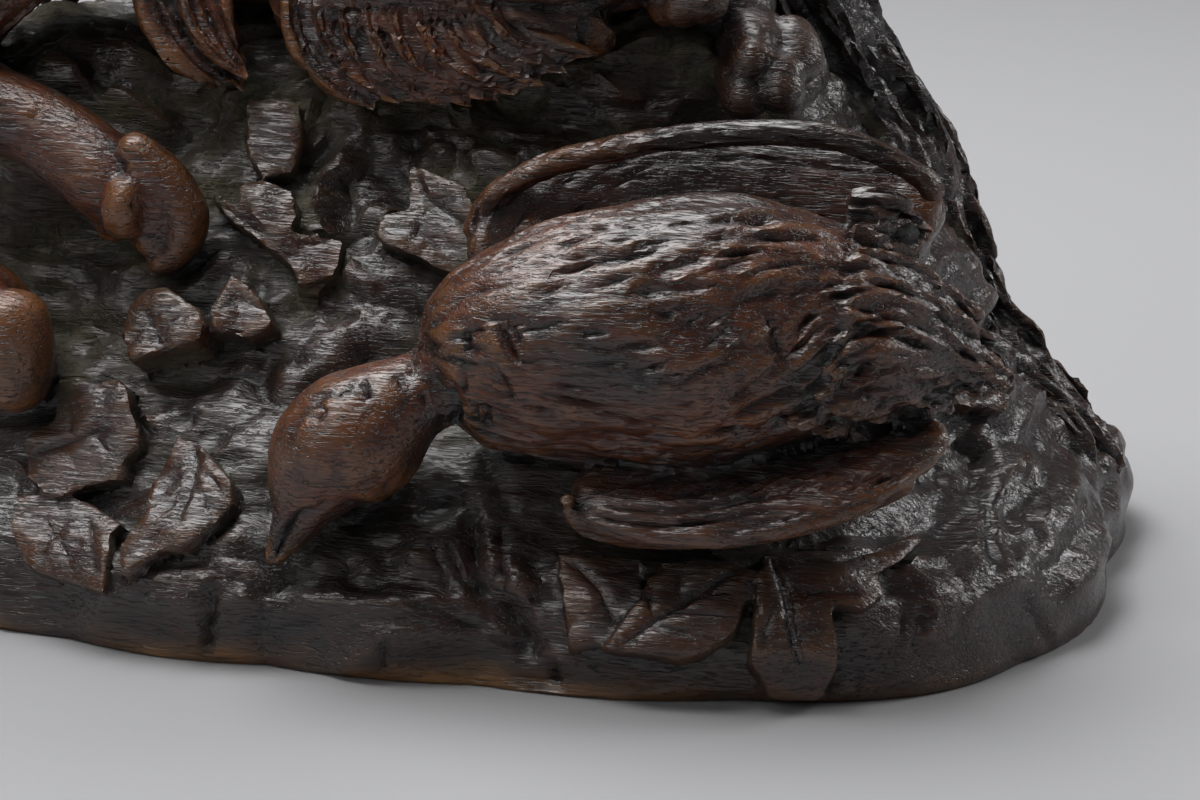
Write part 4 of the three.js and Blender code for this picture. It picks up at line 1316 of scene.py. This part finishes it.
tool_marks(is_wing, marks=900, flow=wing_flow, length=11.0, width=0.8, depth=0.4, seed=151)

# The dog's coat: wavy locks that run along each form, with fine hair cut into them. The paws and face
# are smooth, with a few wrinkles.
COAT_WORK = {
    # kind: lock length and width, lock depth, hair length and width, hair depth
    COAT: (30, 6.5, 1.9, 14, 2.2, 0.8),
    LOCK: (24, 3.5, 0.5, 12, 1.3, 0.5),
    TAIL: (28, 6.0, 1.8, 14, 2.0, 0.8),
    FACE: (20, 7.0, 0.5, 8, 1.6, 0.3),
    SKIN: (14, 6.0, 0.5, 7, 2.4, 0.25),
}
GROOVES = 30
combed = np.zeros(count)
for k in range(GROOVES):
    path = hair_line((k + 0.5) / GROOVES)
    (x0, y0), (x1, y1) = path[-2:]
    path.append((x1 + (x1 - x0) * 0.9, y1 + (y1 - y0) * 0.5))
    combed = np.maximum(combed, stroke(drawn, path, 1.15, 1.5))
elbow_flow = [(0.5 * (a[0] + b[0]), 0.5 * (a[1] + b[1])) for a, b in zip(ELBOW_LOCKS[2], ELBOW_LOCKS[3])]
for shift in range(-2, 4):
    path = [(x + 2.6 * shift * (1 - 0.12 * k), y + 0.5 * shift) for k, (x, y) in enumerate(elbow_flow)]
    combed = np.maximum(combed, stroke(drawn, path, 1.1, 1.5))
push -= np.where(np.isin(kind_here, (COAT, LOCK)), combed, 0.6 * combed * is_ground) * faces_eye

hair_flow = np.zeros((count, 3))
for number, form in enumerate(forms):
    work = COAT_WORK.get(form["kind"])
    here = np.flatnonzero(form_here == number)
    if work is None or len(here) == 0 or form["line"] is None:
        continue
    along, across, over, ahead = bent_axes(points[here], form["line"], form["up"])
    long, wide, deep, fine_long, fine_wide, fine_deep = work
    wave = np.stack(
        [np.zeros(len(here)), np.sin(along / 9 + 1.7 * number), np.cos(along / 11 + over / 9)], axis=1,
    )
    bent = np.stack([along, across, over], axis=1) + wave * 1.8
    push[here] += deep * (strands(bent / (long, wide, wide), 160 + number % 7) - 0.6)
    push[here] += fine_deep * (strands(bent / (fine_long, fine_wide, fine_wide), 170 + number % 5) - 0.6)
    hair_flow[here] = ahead
tool_marks(kind_here == COAT, marks=2600, flow=hair_flow, length=15.0, width=1.3, depth=0.8, seed=181)
tool_marks(kind_here == TAIL, marks=700, flow=hair_flow, length=14.0, width=1.3, depth=0.8, seed=183)
tool_marks(
    np.isin(kind_here, (SKIN, FACE)), marks=400, flow=hair_flow, length=7.0, width=0.8, depth=0.3,
    seed=185,
)

# Last, the cuts are made, fading out at the flat underside, which is planed level. The skin is held just
# inside the size of the CAD block.
INSIDE_BLOCK = 0.05
PLANED_BELOW = 0.3
DRAWING_MARGIN = 6.0
grounded = ramp(points[:, 2], 0.2, 3.0)
moved = points + normals * (push * grounded)[:, None]
low, high = (np.array(corner) / MM for corner in cad_box)
moved = np.clip(moved, low + INSIDE_BLOCK, high - INSIDE_BLOCK)
moved[points[:, 2] < PLANED_BELOW, 2] = 0
write_points(carving, moved)
framed = ((drawn > -DRAWING_MARGIN) & (drawn < DRAWING + DRAWING_MARGIN)).all(1)
seen = framed * faces_eye

# The skin is thinned to what a viewer can take, keeping small faces where it bends most, and more of
# them on the side that the drawing shows. Weights of 0 would lock points, so the lowest is 0.2.
SKIN_TRIANGLES = 192000
WEIGHT_STEPS = 5
LEAST_WEIGHT = 0.2
PLAINER = 4e-6          # how strongly faces are taken from the plain side rather than the front
thin = carving.modifiers.new("thin", "DECIMATE")
thin.ratio = SKIN_TRIANGLES / (2 * len(carving.data.polygons))
thin.use_collapse_triangulate = True
plain = carving.vertex_groups.new(name="plain")
plainness = np.round((1 - (1 - LEAST_WEIGHT) * seen) * WEIGHT_STEPS).astype(int)
for level in range(1, WEIGHT_STEPS + 1):
    plain.add(np.flatnonzero(plainness == level).tolist(), level / WEIGHT_STEPS, "REPLACE")
thin.vertex_group = "plain"
thin.vertex_group_factor = PLAINER
bpy.ops.object.modifier_apply(modifier="thin")
carving.vertex_groups.clear()

# Crumbs that the joining left apart from the block are taken off: all that isn't linked to its highest
# point. Edges sharper than the angle below stay crisp, as a knife leaves them.
tops = read_points(carving)
carving.data.polygons.foreach_set("select", np.zeros(len(carving.data.polygons), bool))
carving.data.edges.foreach_set("select", np.zeros(len(carving.data.edges), bool))
marked = np.zeros(len(tops), bool)
marked[tops[:, 2].argmax()] = True
carving.data.vertices.foreach_set("select", marked)
bpy.ops.object.mode_set(mode="EDIT")
bpy.ops.mesh.select_mode(type="VERT")
bpy.ops.mesh.select_linked()
bpy.ops.mesh.select_all(action="INVERT")
bpy.ops.mesh.delete(type="VERT")
bpy.ops.mesh.select_all(action="SELECT")
bpy.ops.mesh.normals_make_consistent(inside=False)
bpy.ops.object.mode_set(mode="OBJECT")
SOFTEST_EDGE = math.radians(42)
bpy.ops.object.shade_smooth_by_angle(angle=SOFTEST_EDGE)
carving.name = "carved_wooden_dog"
carving.data.name = "carved_wooden_dog"
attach(carving, "root")
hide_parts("carving")

# What the finish needs to know of each place: how deep it lies in a hollow, which places dust and paints
# shade there; how sharp its edge is, or how deep its groove, which takes painted shade too; how warm its
# stain shows, and where dust lies or the stain has worn off.
HOLLOW_REACH = 24.0
CLEAR_OF_SKIN = 0.35
LOOKS = 11
points = read_points(carving)
count = len(points)
normals = skin_normals()
skin = BVHTree.FromObject(carving, bpy.context.evaluated_depsgraph_get())
golden = math.pi * (3 - math.sqrt(5))
lift = np.sqrt((np.arange(LOOKS) + 0.5) / LOOKS)
rays = np.stack([np.sqrt(1 - lift**2) * np.cos(golden * np.arange(LOOKS)),
                 np.sqrt(1 - lift**2) * np.sin(golden * np.arange(LOOKS)), lift], axis=1)
helper = np.where(np.abs(normals[:, 2:]) > 0.9, (1.0, 0.0, 0.0), (0.0, 0.0, 1.0))
level_way = np.cross(helper, normals)
level_way /= np.maximum(np.linalg.norm(level_way, axis=1, keepdims=True), 1e-6)
other_way = np.cross(normals, level_way)
starts = (points + normals * CLEAR_OF_SKIN) * MM
closed = np.zeros(count)
for ray in rays:
    ways = level_way * ray[0] + other_way * ray[1] + normals * ray[2]
    for number, (start, way) in enumerate(zip(starts.tolist(), ways.tolist())):
        far = skin.ray_cast(start, way, HOLLOW_REACH * MM)[3]
        if far is not None:
            closed[number] += 1 - 0.5 * far / (HOLLOW_REACH * MM)
# How closed in each point is: it places the dust, and it darkens the colour in the hollows as painted
# shade.
occlusion = closed / LOOKS

pairs = np.empty(len(carving.data.edges) * 2, np.int32)
carving.data.edges.foreach_get("vertices", pairs)
pairs = pairs.reshape(-1, 2)
both = np.concatenate([pairs, pairs[:, ::-1]])
links = np.bincount(both[:, 0], minlength=count)[:, None]
mean = np.stack([np.bincount(both[:, 0], points[both[:, 1], k], count) for k in range(3)], axis=1) / links
apart = np.linalg.norm(points[both[:, 1]] - points[both[:, 0]], axis=1)
reach = np.bincount(both[:, 0], apart, count) / links[:, 0]
# How far each point stands out from its neighbours: convex edges get the rubbed colour, and grooves get
# painted shade.
edge = ((points - mean) * normals).sum(1) / reach
for _ in range(2):
    edge = 0.5 * edge + 0.5 * np.bincount(both[:, 0], edge[both[:, 1]], count) / links[:, 0]

_, kind_here = forms_under(points)
WARMTH = {GROUND: 0.12, ROCK: 0.18, LEAF: 0.3, BIRD: 0.85, BIRD_HEAD: 0.9, WING: 0.5, QUILL: 0.35,
          COAT: 0.55, SKIN: 0.8, LOCK: 0.75, TAIL: 0.15, FACE: 0.6}
warmth = np.array([WARMTH[kind] for kind in sorted(WARMTH)])[kind_here]
for _ in range(3):
    warmth = 0.4 * warmth + 0.6 * np.bincount(both[:, 0], warmth[both[:, 1]], count) / links[:, 0]
patches = layered(points / 26, 201, 3)
warmth = np.clip(warmth * (1 + 0.5 * patches), 0, 1)
warmth *= 1 - 0.85 * ramp(points[:, 0], 56, 74) * ramp(points[:, 2], 96, 112)
is_rock = np.isin(kind_here, (GROUND, ROCK, LEAF))
high_up = ramp(points[:, 2], 30, 90)
settled = ramp(layered(points / 14, 205, 3), -0.5, 0.5)
dust = is_rock * ramp(occlusion, 0.12, 0.42) * (0.25 + 0.75 * high_up) * settled
low_edge = 1 - ramp(points[:, 2] + 2.2 * layered(points / 9, 209, 3), 1.0, 6.0)
front = ramp(-points[:, 1], 40, 95)
handled = ramp(layered(points / 17, 213, 2), -0.3, 0.5)
worn = low_edge * (0.35 + 0.65 * front) * handled * (1 - 0.75 * ramp(points[:, 0], 40, 110))
for name, values in (
    ("occlusion", occlusion), ("edge", edge), ("warmth", warmth), ("dust", dust), ("worn", worn),
):
    layer = carving.data.attributes.new(name, "FLOAT", "POINT")
    layer.data.foreach_set("value", values.astype(np.float32))

# The finish: fine-grained hardwood, stained nearly black, rubbed with wax and darkened by handling, with
# painted shade laid nearly black into its grooves and hollows. The grain runs along the block, so every
# face shows fine level streaks and short pores. Wax gives a soft gloss on edges; the stain has gone
# red-brown where hands have rubbed it, and dust lies in the hollows.
# The last two colours are painted shade, laid near-black into the grooves and the hollows.
MATERIAL_COLOURS = {
    "dark_stain": "#0E0908", "deep_brown": "#23130C", "red_brown": "#6B3214", "rubbed": "#94602F",
    "bare_wood": "#9A6A32", "old_dust": "#716A52", "pore": "#080504", "crack": "#070404",
    "painted_crease_shade": "#0A0605", "occlusion": "#090605",
}
PATTERNS = {
    # Real pores and grain lines are about 0.1 mm wide, too fine to show in the render, so they are drawn
    # three to six times as wide. Streaks, dust and the cloud of wear are at their real size.
    # name: (length along the grain and width across it in millimetres, detail, roughness, distortion)
    "streaks": (13.0, 1.5, 3.0, 0.55, 0.5),
    "grain": (9.0, 0.65, 2.0, 0.5, 0.5),
    "pores": (3.6, 0.32, 1.0, 0.5, 0.0),
    "cloud": (30.0, 18.0, 4.0, 0.6, 0.5),
    "crumbs": (1.6, 1.2, 3.0, 0.6, 0.0),
}
SHARES = {
    # name: (the pattern or value that it comes from, where it starts and is full, and its two ends)
    "crack_line": ("grain", 0.42, 0.33, 0.0, 1.0),
    "pore_line": ("pores", 0.60, 0.68, 0.0, 1.0),
    "edge_line": ("edge", 0.02, 0.14, 0.0, 1.0),
    # Where painted shade goes: into grooves, and into closed-in hollows.
    "crease_shade_share": ("edge", -0.02, -0.14, 0.0, 1.0),
    "hollow_shade_share": ("occlusion", 0.18, 0.62, 0.0, 1.0),
    "rubbed_cloud": ("cloud", 0.34, 0.58, 0.0, 1.0),
    "brown_streaks": ("streaks", 0.35, 0.68, 0.0, 1.0),
    "red_streaks": ("streaks", 0.3, 0.62, 0.35, 1.0),
    "bare_streaks": ("streaks", 0.3, 0.6, 0.3, 0.9),
    "thick_dust": ("crumbs", 0.3, 0.6, 0.3, 0.9),
    "wax": ("cloud", 0.3, 0.7, 0.26, 0.38),
}
PRODUCTS = {
    # name: the two values that it is the product of
    "red_share": ("warmth", "rubbed_cloud"),
    "warm_edge": ("edge_line", "warmth"),
}
COATS = (
    # colour laid over what is below it, and the two values that say how much of it
    ("deep_brown", "brown_streaks", 1.0),
    ("red_brown", "red_share", "red_streaks"),
    ("rubbed", "warm_edge", 0.6),
    ("pore", "pore_line", 0.8),
    ("crack", "crack_line", 0.85),
    ("bare_wood", "worn", "bare_streaks"),
    # Painted shade: near-black in the grooves and in the hollows.
    ("painted_crease_shade", "crease_shade_share", 0.8),
    ("occlusion", "hollow_shade_share", 0.85),
    ("old_dust", "dust", "thick_dust"),
)
DULLED = (("dust", 0.45), ("hollow_shade_share", 0.25), ("crack_line", 0.3))    # what takes the wax's gloss away
WOOD_IOR = 1.5
SPECULAR = 0.6
WAX_COAT = 0.5          # a thin coat of wax over the stain, which gives a second and sharper gloss
WAX_ROUGHNESS = 0.24
RELIEF = (
    # pattern, strength, depth in millimetres, and whether it is cut in
    ("streaks", 0.7, 0.7, False), ("crack_line", 0.7, 0.3, True), ("pore_line", 0.5, 0.12, True),
)

wood = bpy.data.materials.new("dark_stained_waxed_hardwood")
wood.use_nodes = True
tree = wood.node_tree
shader = tree.nodes["Principled BSDF"]


def node(kind, output, settings=(), links=()):
    """Adds a node and gives one of its outputs. Settings are (socket or property, value) and links are
    (socket, source); a link whose source is a number is set as a value."""
    made = tree.nodes.new(kind)
    for name, value in [*settings, *links]:
        if isinstance(value, bpy.types.NodeSocket):
            tree.links.new(value, made.inputs[name])
        elif isinstance(name, int) or name in made.inputs:
            made.inputs[name].default_value = value
        else:
            setattr(made, name, value)
    return made.outputs[output]


place = node("ShaderNodeTexCoord", "Object")
sources = {}
for name, (long, wide, detail, roughness, distortion) in PATTERNS.items():
    cells = (1 / (long * MM), 1 / (wide * MM), 1 / (wide * MM))
    spot = node("ShaderNodeMapping", "Vector", [("Scale", cells)], [("Vector", place)])
    grown = [("Scale", 1.0), ("Detail", detail), ("Roughness", roughness), ("Distortion", distortion)]
    sources[name] = node("ShaderNodeTexNoise", "Fac", grown, [("Vector", spot)])
for name in ("occlusion", "edge", "warmth", "dust", "worn"):
    sources[name] = node("ShaderNodeAttribute", "Fac", [("attribute_name", name)])
for name, (source, low, high, to_low, to_high) in SHARES.items():
    ends = [("From Min", low), ("From Max", high), ("To Min", to_low), ("To Max", to_high)]
    sources[name] = node("ShaderNodeMapRange", "Result", ends, [("Value", sources[source])])
for name, (first, second) in PRODUCTS.items():
    pair = [(0, sources[first]), (1, sources[second])]
    sources[name] = node("ShaderNodeMath", "Value", [("operation", "MULTIPLY")], pair)

base = linear(MATERIAL_COLOURS["dark_stain"])
for colour, share, other in COATS:
    pair = [(0, sources[share]), (1, sources.get(other, other))]
    much = node("ShaderNodeMath", "Value", [("operation", "MULTIPLY")], pair)
    mixed = [(0, much), (6, base), (7, linear(MATERIAL_COLOURS[colour]))]
    base = node("ShaderNodeMix", 2, [("data_type", "RGBA")], mixed)
tree.links.new(base, shader.inputs["Base Color"])
gloss = sources["wax"]
for name, amount in DULLED:
    added = [(0, sources[name]), (1, amount), (2, gloss)]
    gloss = node("ShaderNodeMath", "Value", [("operation", "MULTIPLY_ADD")], added)
tree.links.new(gloss, shader.inputs["Roughness"])
shader.inputs["IOR"].default_value = WOOD_IOR
shader.inputs["Specular IOR Level"].default_value = SPECULAR
shader.inputs["Coat Weight"].default_value = WAX_COAT
shader.inputs["Coat Roughness"].default_value = WAX_ROUGHNESS
below = []
for name, strength, deep, inward in RELIEF:
    settings = [("Strength", strength), ("Distance", deep * MM), ("invert", inward)]
    relief = node("ShaderNodeBump", "Normal", settings, [("Height", sources[name]), *below])
    below = [("Normal", relief)]
tree.links.new(relief, shader.inputs["Normal"])
tree.links.new(relief, shader.inputs["Coat Normal"])
carving.data.materials.clear()
carving.data.materials.append(wood)
